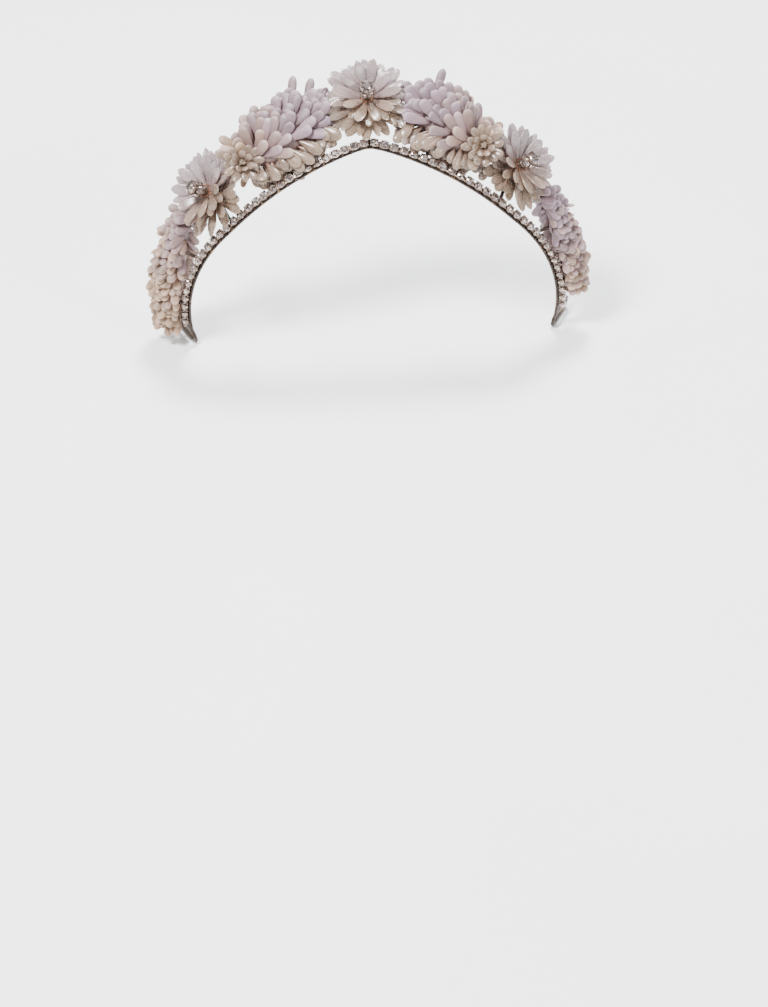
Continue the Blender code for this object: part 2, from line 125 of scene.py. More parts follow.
# The sprays: where each branch begins and ends, how full it is, and its rows of petals.
# warm_start and warm_end tint each spray from lilac to champagne along its length, warmer
# towards its lower end: partly the petals' own champagne, partly painted warm shade.
SPRAYS = table(
    "name start_deg end_deg start_height end_height out core_up body_up body_out"
    " rows around length width rise fan warm_start warm_end",
    ("spray_upper_left", -34.0, -13.0, 16.0 * MM, 15.8 * MM, 4.5 * MM, 9.5 * MM,
     10.5 * MM, 6.0 * MM, 12, 17, 9.5 * MM, 4.8 * MM, 0.4, 0.85, 0.9, -0.9),
    ("spray_upper_right", 30.0, 12.0, 15.0 * MM, 16.5 * MM, 4.5 * MM, 9.5 * MM,
     10.5 * MM, 6.0 * MM, 11, 17, 9.5 * MM, 4.8 * MM, 0.4, 0.85, 0.9, -0.9),
    ("spray_lower_left", -60.0, -93.0, 14.2 * MM, 6.4 * MM, 3.8 * MM, 6.5 * MM,
     6.2 * MM, 2.8 * MM, 18, 15, 7.4 * MM, 3.6 * MM, 0.15, 0.85, 0.35, 1.3),
    ("spray_lower_right", 55.5, 84.0, 12.8 * MM, 5.4 * MM, 3.8 * MM, 6.5 * MM,
     5.6 * MM, 2.3 * MM, 17, 15, 6.8 * MM, 3.6 * MM, 0.1, 0.7, 0.0, 0.8),
)
# The petals that stand up tall from the sprays: where along the band, and how high.
TALL_PETALS = table(
    "spray angle_deg height lean",
    ("spray_upper_left", -16.8, 39.5 * MM, 0.25),
    ("spray_upper_left", -12.6, 35.0 * MM, 0.4),
    ("spray_upper_left", -21.5, 34.5 * MM, 0.2),
    ("spray_upper_right", 18.5, 41.0 * MM, -0.25),
    ("spray_upper_right", 23.0, 35.5 * MM, 0.1),
    ("spray_upper_right", 28.0, 33.5 * MM, 0.1),
)
TALL_SIZE = (14.0 * MM, 3.8 * MM, 1.6 * MM)

# How a spray's body fills out, and how its petals run, fan out and lift from it.
SPRAY_FULLNESS = 0.6
SPRAY_EARLY = -0.14
SPRAY_TURN = 0.2
SPRAY_SPLAY = 1.2
SPRAY_LIFT = 0.3
SPRAY_OPENING = 1.1
SPRAY_DROOP = 0.4
SPRAY_VEER = 0.7
FAN_CLOSES = 0.6
FAN_CLOSING = 0.75
SNUG_FAN = 0.15
SNUG_SHARE = 0.7
ROOT_SHARE = 0.82
UNDERSIDE = -0.55

# The room kept free of petals: round the row of stones, in front of a daisy's heart,
# and behind the heart where its stem runs.
ROW_ROOM = 2.1 * MM
HEART_ROOM = 4.0 * MM
HEART_RADIUS = 15.0 * MM
HEART_FLOOR = 1.8 * MM
STEM_ROOM = -3.0 * MM
TRIMS = (1.0, 0.88, 0.76, 0.64, 0.52)

# The champagne flower at an upper spray's outer end.
BURST_RINGS = ((12, 8.5 * MM, 3.6 * MM, 22.0), (7, 6.5 * MM, 3.2 * MM, 50.0),
               (5, 4.6 * MM, 2.8 * MM, 84.0))
BURST_PLACE = -0.06

# The glassy petals that hang from an upper spray down to the stones.
FRINGES = table(
    "spray start_deg end_deg petals",
    ("spray_upper_left", -32.0, -12.0, 15),
    ("spray_upper_right", 36.0, 11.0, 19),
)
FRINGE_TOP = 10.5 * MM
FRINGE_FOOT = 2.4 * MM
FRINGE_OUT = 3.0 * MM
FRINGE_WIDTH = 3.8 * MM

# The stems: one to a daisy, and two to a spray at these shares of its length.
STEM_RADIUS = 0.8 * MM
STEM_STRAIGHT = 3.2 * MM
STEM_SHARES = (0.2, 0.75)

# Petal outlines: share of the length, then width and thickness as shares of the widest.
DAISY_PETAL = ((0.0, 0.16, 0.35), (0.12, 0.30, 0.5), (0.3, 0.58, 0.75), (0.5, 0.87, 0.95),
               (0.68, 1.0, 1.0), (0.82, 0.93, 0.86), (0.93, 0.63, 0.6), (0.99, 0.22, 0.25))
SPRAY_PETAL = ((0.0, 0.36, 0.6), (0.22, 0.60, 0.8), (0.45, 0.86, 0.95), (0.66, 1.0, 1.0),
               (0.82, 0.96, 0.95), (0.93, 0.72, 0.8), (0.99, 0.32, 0.4))

# Across the band from front to back, and the way the ornament faces when it is worn.
ACROSS = Vector((0.0, 1.0, 0.0))
FRONT = Vector((0.0, -0.7, 0.72)).normalized()

# The camera at the photograph's angle: where it is, where it looks and its right side.
CAMERA_PLACE = Vector((-38.389, -1180.698, 755.409)) * MM
CAMERA_AIM = Vector((0.028748, 0.812534, -0.582205))
CAMERA_RIGHT = Vector((0.998464, -0.050943, -0.021795))
CAMERA_PIXELS = 3414.99
PHOTO_WIDTH = 768
SENSOR_WIDTH = 36.0

# The lights: name, place, size across, power and colour.
LIGHTS = (
    ("key", (-0.6, -0.5, 1.4), 0.45, 55.0, (1.0, 0.985, 0.97)),
    ("fill", (0.95, -0.9, 0.8), 0.5, 10.0, (1.0, 0.96, 0.92)),
    ("top", (0.15, 0.6, 1.3), 0.35, 40.0, (0.93, 0.96, 1.0)),
)
LIGHT_AIM = Vector((0.0, 0.0, 0.06))


def radial(angle):
    """The direction straight out from the middle of the oval."""
    return Vector((math.sin(angle), 0.0, math.cos(angle)))


def upward(angle):
    """The direction in which the ornament stands up from the band."""
    return ACROSS * math.cos(FLARE) + radial(angle) * math.sin(FLARE)


def outward(angle):
    """The direction in which the ornament faces."""
    return radial(angle) * math.cos(FLARE) - ACROSS * math.sin(FLARE)


def peak(angle):
    """How far the band rises towards the point at its middle."""
    off_centre = math.hypot(BAND_HALF_WIDTH * math.sin(angle), PEAK_ROUNDING)
    if math.cos(angle) < 0 or off_centre > PEAK_HALF_WIDTH:
        return 0.0
    return PEAK_HEIGHT * (1 - off_centre / PEAK_HALF_WIDTH) ** PEAK_POWER


def place(angle, height=0.0, out=0.0):
    """A point of the tiara: along the band, up the ornament, and out of its face."""
    oval = Vector((BAND_HALF_WIDTH * math.sin(angle), 0.0, BAND_RISE * math.cos(angle)))
    return oval + upward(angle) * (peak(angle) + height) + outward(angle) * out


def band_axes(angle):
    """The band's own directions at an angle: along it, up across it, and out of it."""
    step = 0.002
    along = (place(angle + step) - place(angle - step)).normalized()
    out = outward(angle)
    out = (out - along * out.dot(along)).normalized()
    return along, along.cross(out) * -1.0, out


def walk_band(sign):
    """Distances along half the band from its middle, and the angle at each."""
    angles = np.linspace(0.0, BAND_END * sign, 400)
    points = np.array([place(angle) for angle in angles])
    steps = np.linalg.norm(np.diff(points, axis=0), axis=1)
    return np.concatenate([[0.0], np.cumsum(steps)]), angles


def facing(origin, z_axis, x_hint):
    """A matrix at origin whose Z is z_axis and whose X is as near x_hint as it can be."""
    z_axis = z_axis.normalized()
    x_axis = (x_hint - z_axis * x_hint.dot(z_axis)).normalized()
    turn = Matrix((x_axis, z_axis.cross(x_axis), z_axis)).transposed()
    return Matrix.Translation(origin) @ turn.to_4x4()


def sized(x, y, z):
    """A matrix that scales along each axis."""
    return Matrix.Diagonal((x, y, z, 1.0))


def hub_out(level):
    """How far out of the face a daisy's back ring, front ring or button begins."""
    return DAISY_OUT + level * (HUB_THICKNESS + GAP)


def loop_axis(sign):
    """The direction in which an end loop is drawn out, for the left or right end."""
    _, up, out = band_axes(BAND_END * sign)
    return Matrix.Rotation(-LOOP_TILT * sign, 4, out) @ up


def held(value):
    """A number kept between 0 and 1."""
    return min(1.0, max(0.0, value))


def between(first, last, share):
    """A number that lies this share of the way from the first to the last."""
    return first * (1 - share) + last * share


def scatter_value(number, salt):
    """A repeatable number from 0 to 1 for the item with this number."""
    return math.modf(abs(math.sin(number * 12.9898 + salt * 78.233)) * 43758.5453)[0]


def uneven(number, salt, spread):
    """A repeatable number round zero for the item with this number."""
    return spread * (scatter_value(number, salt) - 0.5)


# Working on meshes


def deselect():
    """Leaves edit mode and selects nothing."""
    if bpy.context.object is not None and bpy.context.object.mode != "OBJECT":
        bpy.ops.object.mode_set(mode="OBJECT")
    bpy.ops.object.select_all(action="DESELECT")


def use_only(obj):
    """Makes one object the selected and active one."""
    deselect()
    obj.select_set(True)
    bpy.context.view_layer.objects.active = obj


def edit_all(obj):
    """Opens an object in edit mode with all of it selected."""
    use_only(obj)
    bpy.ops.object.mode_set(mode="EDIT")
    bpy.ops.mesh.select_all(action="SELECT")


def leave_edit():
    """Goes back from edit mode."""
    bpy.ops.object.mode_set(mode="OBJECT")


def tidy_normals(obj):
    """Merges doubles and turns every face of a closed form outwards."""
    edit_all(obj)
    bpy.ops.mesh.remove_doubles(threshold=0.000001)
    bpy.ops.mesh.normals_make_consistent(inside=False)
    leave_edit()


def apply_modifier(obj, kind, **settings):
    """Adds one modifier, sets it and applies it."""
    use_only(obj)
    modifier = obj.modifiers.new(kind.lower(), kind)
    for name, value in settings.items():
        setattr(modifier, name, value)
    bpy.ops.object.modifier_apply(modifier=modifier.name)


def shade(obj, smooth=True, crease_deg=None):
    """Shades an object flat, smooth, or smooth up to a crease angle."""
    use_only(obj)
    if not smooth:
        bpy.ops.object.shade_flat()
    elif crease_deg is None:
        bpy.ops.object.shade_smooth()
    else:
        bpy.ops.object.shade_smooth_by_angle(angle=math.radians(crease_deg))


def mark(obj, **marks):
    """Writes numbers on all of a mesh, for its material to read."""
    for name, value in marks.items():
        layer = obj.data.attributes.get(name)
        if layer is None:
            layer = obj.data.attributes.new(name, "FLOAT", "POINT")
        if callable(value):
            values = np.array([value(v.co) for v in obj.data.vertices], np.float32)
        else:
            values = np.full(len(obj.data.vertices), value, np.float32)
        layer.data.foreach_set("value", values)


def started(name, add, **settings):
    """A new form from one of the primitives, named."""
    deselect()
    add(**settings)
    obj = bpy.context.object
    obj.name = name
    return obj


def linked(name, data):
    """A new object in the scene for a curve, a lamp or a camera."""
    obj = bpy.data.objects.new(name, data)
    bpy.context.scene.collection.objects.link(obj)
    return obj


def made_of(obj, material, seat=None):
    """Puts a form in its seat, where it has one, and gives it its material."""
    if seat is not None:
        obj.data.transform(seat)
    obj.data.materials.append(material)
    return obj


def drawn_form(name, sides, rows, smooth=True):
    """A closed form drawn out from a disc, row by row: height, width, depth and sway."""
    obj = started(name, bpy.ops.mesh.primitive_circle_add, vertices=sides, radius=0.5,
                  fill_type="NGON")
    edit_all(obj)
    z, width, depth, sway = (*rows[0], 0.0)[:4]
    bpy.ops.transform.resize(value=(width, depth, 1.0), center_override=(0, 0, 0))
    bpy.ops.transform.translate(value=(0, sway, z))
    for row in rows[1:]:
        new_z, new_width, new_depth, new_sway = (*row, 0.0)[:4]
        step = (0.0, new_sway - sway, new_z - z)
        bpy.ops.mesh.extrude_region_move(TRANSFORM_OT_translate={"value": step})
        grow = (new_width / width, new_depth / depth, 1.0)
        bpy.ops.transform.resize(value=grow, center_override=(0, new_sway, new_z))
        z, width, depth, sway = new_z, new_width, new_depth, new_sway
    leave_edit()
    tidy_normals(obj)
    shade(obj, smooth)
    return obj


def wire_form(name, points, radius, sides=8):
    """A round wire through the points, turned into a mesh."""
    curve = bpy.data.curves.new(name, "CURVE")
    curve.dimensions = "3D"
    curve.bevel_depth = radius
    curve.bevel_resolution = max(0, sides // 4 - 1)
    curve.use_fill_caps = True
    spline = curve.splines.new("POLY")
    spline.points.add(len(points) - 1)
    for target, point in zip(spline.points, points):
        target.co = (*point, 1.0)
    use_only(linked(name, curve))
    bpy.ops.object.convert(target="MESH")
    obj = bpy.context.object
    tidy_normals(obj)
    shade(obj)
    return obj


def ring_form(name, wire, turns):
    """A ring of wire one unit in radius, a little deeper than it is thick."""
    obj = started(name, bpy.ops.mesh.primitive_torus_add, major_segments=turns,
                  minor_segments=5, major_radius=1.0, minor_radius=wire)
    edit_all(obj)
    bpy.ops.transform.resize(value=(1.0, 1.0, 1.25), center_override=(0, 0, 0))
    leave_edit()
    shade(obj)
    return obj


def copy_of(template, matrix, **marks):
    """A copy with its own mesh, its place in the mesh."""
    obj = template.copy()
    obj.data = template.data.copy()
    obj.data.transform(matrix)
    if matrix.determinant() < 0:
        obj.data.flip_normals()
    bpy.context.scene.collection.objects.link(obj)
    mark(obj, **marks)
    return obj


def joined(name, objects):
    """One object from many, named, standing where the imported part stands."""
    deselect()
    for obj in objects:
        obj.select_set(True)
    bpy.context.view_layer.objects.active = objects[0]
    bpy.ops.object.join()
    obj = bpy.context.object
    obj.name = name
    obj.data.name = name
    obj.data.transform(STAND)
    deselect()
    return obj


def drop(*objects):
    """Removes the models once their copies are made."""
    for obj in objects:
        bpy.data.objects.remove(obj, do_unlink=True)


def finished(obj, slot, *nodes):
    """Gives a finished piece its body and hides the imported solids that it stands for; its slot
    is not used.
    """
    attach(obj, "root")
    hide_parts(*nodes)
    return obj


# Materials


class Socket:
    """A shader value that can be added, subtracted, multiplied and divided."""

    def __init__(self, kit, link):
        self.kit = kit
        self.link = link

    def maths(self, operation, first, second):
        return self.kit.node("ShaderNodeMath", {"operation": operation}, {0: first, 1: second})

    def __add__(self, other):
        return self.maths("ADD", self, other)

    def __radd__(self, other):
        return self.maths("ADD", other, self)

    def __sub__(self, other):
        return self.maths("SUBTRACT", self, other)

    def __rsub__(self, other):
        return self.maths("SUBTRACT", other, self)

    def __mul__(self, other):
        return self.maths("MULTIPLY", self, other)

    def __rmul__(self, other):
        return self.maths("MULTIPLY", other, self)


class Finish:
    """A material under work: its nodes are added one at a time."""

    def __init__(self, name):
        self.material = bpy.data.materials.new(name)
        self.material.use_nodes = True
        self.tree = self.material.node_tree
        self.surface = self.tree.nodes["Principled BSDF"]

    def node(self, kind, settings=None, inputs=None, output=0):
        """Adds a node, sets it, and feeds its sockets with values or links."""
        made = self.tree.nodes.new(kind)
        for name, value in (settings or {}).items():
            if name == "stops":
                self.set_stops(made.color_ramp, value)
            else:
                setattr(made, name, value)
        for key, value in (inputs or {}).items():
            self.feed(made.inputs[key], value)
        return Socket(self, made.outputs[output])

    @staticmethod
    def set_stops(ramp, stops):
        while len(ramp.elements) < len(stops):
            ramp.elements.new(1.0)
        for element, (position, colour) in zip(ramp.elements, stops):
            element.position = position
            element.color = (*colour, 1.0)

    def feed(self, target, value):
        if isinstance(value, Socket):
            self.tree.links.new(value.link, target)
        elif hasattr(value, "__len__") and len(value) == 3 and target.type == "RGBA":
            target.default_value = (*value, 1.0)
        else:
            target.default_value = value

    def set(self, **values):
        """Sets or links the surface's sockets, named with _ for a space."""
        for name, value in values.items():
            self.feed(self.surface.inputs[name.replace("_", " ")], value)

    def place(self):
        return self.node("ShaderNodeTexCoord", output="Object")

    def mark(self, name):
        return self.node("ShaderNodeAttribute", {"attribute_name": name}, output="Fac")

    def noise(self, scale, detail):
        return self.node("ShaderNodeTexNoise", None,
                         {"Vector": self.place(), "Scale": scale, "Detail": detail,
                          "Roughness": 0.55})

    def ramp(self, value, *stops):
        return self.node("ShaderNodeValToRGB", {"stops": stops}, {"Fac": value})

    def band(self, value, low, high, to_low=0.0, to_high=1.0):
        """Maps a value from one range to another, and holds it at the ends."""
        return self.node("ShaderNodeMapRange", None,
                         {"Value": value, "From Min": low, "From Max": high,
                          "To Min": to_low, "To Max": to_high})

    def mix(self, factor, one, two, blend="MIX"):
        mixed = self.node("ShaderNodeMix", {"data_type": "RGBA", "blend_type": blend},
                          {"Factor": factor}, output="Result")
        node = mixed.link.node
        colours = [socket for socket in node.inputs if socket.type == "RGBA"]
        self.feed(colours[0], one)
        self.feed(colours[1], two)
        result = [socket for socket in node.outputs if socket.type == "RGBA"][0]
        return Socket(self, result)

    def shaded(self, colour, light):
        """A colour made lighter or darker by a number that varies over the surface."""
        grey = self.ramp(light * 0.5, (0.0, (0, 0, 0)), (1.0, (2, 2, 2)))
        return self.mix(1.0, colour, grey, "MULTIPLY")

    def bump(self, height, strength, distance):
        return self.node("ShaderNodeBump", None,
                         {"Height": height, "Strength": strength, "Distance": distance})


def matte_petal_finish(colours):
    """Matte petals: pale lilac to champagne, with painted shade darkening the root and a painted
    highlight paling the rim.
    """
    kit = Finish("matte_petal_finish")
    reach, tone, warmth = kit.mark("reach"), kit.mark("tone"), kit.mark("warmth")
    clouds = kit.noise(260.0, 4.0)
    grain = kit.noise(2600.0, 2.0)
    body = kit.mix(warmth, colours.lilac, colours.champagne)
    # Painted shade: towards the root, where petals lie under the ones above, the colour is mixed
    # to darker ones.
    deep = kit.mix(warmth, colours.lilac_root_shade, colours.champagne_root_shade)
    depth = kit.band(reach + (clouds - 0.5) * 0.3, 0.3, 0.9)
    colour = kit.mix(depth, deep, body)
    # Painted highlight: towards the tips the colour is mixed to the pale rim colours.
    pale = kit.band(reach, 0.8, 1.0, 0.0, 0.45)
    rim = kit.mix(warmth, colours.rim, colours.warm_rim_highlight)
    colour = kit.mix(pale, colour, rim)
    light = kit.band(tone + (clouds - 0.5) * 0.6, 0.0, 1.0, 0.68, 1.16)
    kit.set(Base_Color=kit.shaded(colour, light),
            Roughness=kit.band(grain + tone * 0.2, 0.3, 0.9, 0.38, 0.6),
            Subsurface_Weight=0.25, Subsurface_Radius=(0.8, 0.5, 0.45),
            Subsurface_Scale=0.0018, Specular_IOR_Level=0.4, Coat_Weight=0.08,
            Coat_Roughness=0.4, Normal=kit.bump(grain * 0.4 + clouds * 0.6, 0.22, 0.0002))
    return kit.material


def crystal_petal_finish(colours, name="crystal_petal_finish"):
    """Glossy translucent petals: smoky lilac above, champagne below, the champagne partly the
    petals' own colour and partly painted warm shade on the lower side.
    """
    kit = Finish(name)
    reach, tone, warmth = kit.mark("reach"), kit.mark("tone"), kit.mark("warmth")
    clouds = kit.noise(190.0, 3.0)
    ripples = kit.noise(700.0, 2.0)
    cool = kit.mix(reach, colours.daisy_cool_root, colours.daisy_cool_tip)
    warm = kit.mix(reach, colours.daisy_warm_root, colours.daisy_warm_tip)
    colour = kit.mix(kit.band(warmth + (clouds - 0.5) * 0.35, 0.1, 0.9), cool, warm)
    colour = kit.mix(kit.band(reach, 0.25, 0.0), colour, (0.24, 0.13, 0.09))
    light = kit.band(tone + (clouds - 0.5) * 0.5, 0.0, 1.0, 0.8, 1.1)
    kit.set(Base_Color=kit.shaded(colour, light),
            Roughness=kit.band(ripples, 0.3, 0.8, 0.2, 0.38),
            Transmission_Weight=0.32, IOR=1.46, Coat_Weight=0.25, Coat_Roughness=0.2,
            Subsurface_Weight=0.3, Subsurface_Radius=(1.0, 0.75, 0.55),
            Subsurface_Scale=0.002, Normal=kit.bump(ripples, 0.25, 0.00025))
    return kit.material


def stone_finish(colours):
    """Foiled rhinestones: each facet has its own brightness, painted reflections from dark to
    near-white glints.
    """
    kit = Finish("rhinestone_finish")
    facet = kit.mark("facet")
    clouds = kit.noise(420.0, 2.0)
    # Painted reflections: each facet's number picks a tone from dark through middling to near
    # white, the brightest being painted glints.
    tint = kit.ramp(facet, (0.0, (0.05, 0.035, 0.035)), (0.35, (0.20, 0.15, 0.14)),
                    (0.7, colours.stone), (1.0, (0.88, 0.84, 0.81)))
    colour = kit.mix(kit.band(clouds, 0.45, 0.7, 0.0, 0.35), tint, (0.42, 0.32, 0.28))
    kit.set(Base_Color=colour, Metallic=kit.band(facet, 0.0, 1.0, 0.95, 0.7),
            Roughness=kit.band(clouds, 0.3, 0.7, 0.05, 0.16), Coat_Weight=0.9,
            Coat_Roughness=0.02)
    return kit.material


def cup_finish(colours):
    """Pale plated metal, a little worn and tarnished in clouded patches."""
    kit = Finish("cup_finish")
    clouds = kit.noise(520.0, 4.0)
    grain = kit.noise(3000.0, 2.0)
    colour = kit.mix(kit.band(clouds, 0.35, 0.65), (0.20, 0.14, 0.11), colours.cup)
    kit.set(Base_Color=colour, Metallic=0.95, Roughness=kit.band(clouds, 0.3, 0.7, 0.42, 0.22),
            Normal=kit.bump(grain, 0.15, 0.0001))
    return kit.material


def band_finish(colours):
    """Dark antique plating with brown tarnish and brighter worn places."""
    kit = Finish("antique_band_finish")
    clouds = kit.noise(150.0, 5.0)
    grain = kit.noise(1800.0, 3.0)
    wear = kit.band(clouds + (grain - 0.5) * 0.5, 0.55, 0.72)
    colour = kit.mix(wear, colours.band, colours.band_worn)
    kit.set(Base_Color=colour, Metallic=kit.band(wear, 0.0, 1.0, 0.75, 1.0),
            Roughness=kit.band(grain, 0.3, 0.7, 0.5, 0.3),
            Normal=kit.bump(grain, 0.3, 0.00015))
    return kit.material


def amber_finish(colours):
    """The red-brown wire that binds a daisy's petals."""
    kit = Finish("amber_wire_finish")
    clouds = kit.noise(600.0, 3.0)
    colour = kit.mix(kit.band(clouds, 0.35, 0.65), colours.amber, (0.30, 0.13, 0.06))
    kit.set(Base_Color=colour, Metallic=0.55, Roughness=kit.band(clouds, 0.3, 0.7, 0.35, 0.2),
            Coat_Weight=0.4, Coat_Roughness=0.1)
    return kit.material


def floor_finish(colours):
    """A pale floor, very slightly clouded."""
    kit = Finish("pale_floor_finish")
    clouds = kit.noise(6.0, 3.0)
    colour = kit.mix(kit.band(clouds, 0.3, 0.7), colours.floor, (0.90, 0.90, 0.91))
    kit.set(Base_Color=colour, Roughness=0.6)
    return kit.material


# Modelled once and copied


def make_petal(name, outline, curl, dish, sides=8):
    """A petal one unit long, wide and thick, curled and dished on its front."""
    rows = [(share, width, depth, curl * share * share) for share, width, depth in outline]
    petal = drawn_form(name, sides, rows)
    if dish:
        edit_all(petal)
        bpy.ops.mesh.select_all(action="DESELECT")
        leave_edit()
        for vertex in petal.data.vertices:
            middle = curl * vertex.co.z * vertex.co.z
            inner = abs(vertex.co.x) < 0.3 and vertex.co.y > middle + 0.05
            vertex.select = inner and 0.25 < vertex.co.z < 0.95
        bpy.ops.object.mode_set(mode="EDIT")
        bpy.ops.transform.translate(value=(0.0, -dish, 0.0))
        leave_edit()
    mark(petal, reach=lambda co: co.z, tone=0.5, warmth=0.0)
    return petal


def make_stone(name):
    """A cut stone one unit in radius: a table, stars, kites and a girdle."""
    rows = ((8, 0.30, -0.75, 0.0), (16, 1.0, 0.0, 0.0), (16, 1.0, 0.06, 0.0),
            (8, 0.86, 0.24, 0.5), (8, 0.56, 0.42, 0.0))
    obj = started(name, bpy.ops.mesh.primitive_circle_add, vertices=8, radius=rows[0][1],
                  location=(0, 0, rows[0][2]))
    bpy.ops.object.transform_apply(location=True)
    bpy.ops.object.mode_set(mode="EDIT")
    for count, radius, z, turn in rows[1:]:
        bpy.ops.mesh.primitive_circle_add(vertices=count, radius=radius, location=(0, 0, z),
                                          rotation=(0, 0, turn * TAU / count))
    bpy.ops.mesh.select_all(action="SELECT")
    bpy.ops.mesh.convex_hull()
    bpy.ops.mesh.normals_make_consistent(inside=False)
    leave_edit()
    shade(obj, smooth=False)
    return obj


def facet_glint_marks(obj, salt, painted_glint):
    """Gives each facet of a stone its own painted reflection, up to the stone's brightest
    painted glint.
    """
    layer = obj.data.attributes.get("facet")
    if layer is None:
        layer = obj.data.attributes.new("facet", "FLOAT", "FACE")
    values = [scatter_value(face.index + 1, salt) * painted_glint for face in obj.data.polygons]
    layer.data.foreach_set("value", np.array(values, np.float32))


def make_cup(name):
    """A cup for a stone one unit in radius, with a rim to hold it, its foot at zero."""
    rows = ((0.0, 1.5, 1.5), (0.15, 1.62, 1.62), (0.55, 1.9, 1.9), (0.8, 2.1, 2.1),
            (0.86, 2.08, 2.08), (0.86, 1.8, 1.8), (0.6, 1.5, 1.5))
    return drawn_form(name, 12, rows, smooth=False)


def make_prong(name):
    """A claw that leans in over the stone's edge."""
    rows = ((0.0, 0.30, 0.22, 0.0), (0.5, 0.30, 0.22, 0.08), (0.8, 0.26, 0.2, 0.12),
            (1.0, 0.22, 0.2, 0.0), (1.08, 0.12, 0.12, -0.12))
    return drawn_form(name, 6, rows)


class Setting:
    """A stone in its cup with claws, copied wherever one is set."""

    def __init__(self, metal, glass):
        self.stone = made_of(make_stone("stone_model"), glass)
        self.cup = made_of(make_cup("cup_model"), metal)
        self.prong = made_of(make_prong("prong_model"), metal)

    def at(self, seat, radius, number, claws=4, painted_glint=1.0):
        """The cup, stone and claws at a seat whose Z points out of the table."""
        size = sized(radius, radius, radius)
        stone = copy_of(self.stone, seat @ size @ Matrix.Translation((0, 0, 0.88))
                        @ sized(0.93, 0.93, 0.93) @ Matrix.Rotation(number * 0.7, 4, "Z"))
        facet_glint_marks(stone, number, painted_glint)
        made = [stone, copy_of(self.cup, seat @ size)]
        for claw in range(claws):
            turn = Matrix.Rotation(TAU * (claw + 0.5) / claws, 4, "Z")
            step = Matrix.Translation((0.0, 0.95, 0.25))
            made.append(copy_of(self.prong, seat @ size @ turn @ step))
        return made

    def drop(self):
        drop(self.stone, self.cup, self.prong)


def swept_strip(name, angles, width, thickness, out):
    """A strip along the band, from a grid bent to the oval, thickened and rounded."""
    obj = started(name, bpy.ops.mesh.primitive_grid_add, x_subdivisions=len(angles) - 1,
                  y_subdivisions=2, size=2)
    for vertex in obj.data.vertices:
        angle = angles[round((vertex.co.x + 1) / 2 * (len(angles) - 1))]
        _, up, face = band_axes(angle)
        vertex.co = place(angle) + up * (vertex.co.y * width / 2) + face * out
    apply_modifier(obj, "SOLIDIFY", thickness=thickness, offset=0.0)
    tidy_normals(obj)
    apply_modifier(obj, "BEVEL", width=thickness * 0.25, segments=2, limit_method="ANGLE",
                   angle_limit=math.radians(50))
    shade(obj, crease_deg=35)
    return obj


# The pieces


def build_band(metal):
    """The strip, its stems bound with wire, its end loops and the wire that ties the row."""
    angles = list(np.linspace(-BAND_END, BAND_END, 161))
    strip = swept_strip("band_strip", angles, STRIP_WIDTH, STRIP_THICKNESS, 0.0)
    parts = [made_of(strip, metal)]
    inside = -STRIP_THICKNESS / 2
    tops = []
    for _, angle, height in DAISIES:
        tops.append((angle, place(angle, height + HUB_RADIUS * 0.6,
                                  DAISY_OUT - STEM_RADIUS - GAP)))
    for spray in SPRAYS:
        for share in STEM_SHARES:
            rim = spray["core_up"] * math.sin(math.pi * share) ** SPRAY_FULLNESS
            tops.append(branch_point(spray, share, -(rim + STEM_RADIUS + 2 * GAP)))
    for number, (angle, top) in enumerate(tops):
        foot = place(angle, 0.0, inside)
        knee = place(angle, STEM_STRAIGHT, inside)
        bend = [foot.lerp(knee, share) for share in (0.0, 0.4, 0.8)]
        bend += [knee.lerp(top, share) for share in (0.12, 0.4, 0.7, 1.0)]
        parts.append(made_of(wire_form(f"stem_{number}", bend, STEM_RADIUS * 0.85), metal))
        parts.append(binding(knee, top, STEM_RADIUS * 0.9, metal))
    for sign in (-1.0, 1.0):
        parts.append(end_loop(sign, metal))
    wrap = ring_form("wrap_model", 0.09, 14)
    made_of(wrap, metal)
    for sign in (-1.0, 1.0):
        lengths, turns = walk_band(sign)
        count = int((lengths[-1] - CHAIN_END_MARGIN) / STONE_PITCH)
        for number in range(count + 1):
            angle = float(np.interp(STONE_PITCH * number, lengths, turns))
            along, up, out = band_axes(angle)
            seat = facing(place(angle) + out * 0.25 * MM, along, up)
            parts.append(copy_of(wrap, seat @ sized(STRIP_WIDTH * 0.56, 1.0 * MM, 2.2 * MM)))
    drop(wrap)
    return finished(joined("tiara_band", parts), "antique_gold", "band")


def binding(start, end, radius, metal):
    """Fine wire wound round a stem."""
    axis = end - start
    turns = max(3, int(axis.length / (0.55 * MM)))
    seat = facing(start, axis, Vector((1.0, 0.3, 0.0)))
    points = []
    for step in range(turns * 8 + 1):
        turn = TAU * step / 8
        points.append(seat @ Vector((radius * math.cos(turn), radius * math.sin(turn),
                                     axis.length * step / (turns * 8))))
    return made_of(wire_form("binding", points, 0.16 * MM, sides=4), metal)


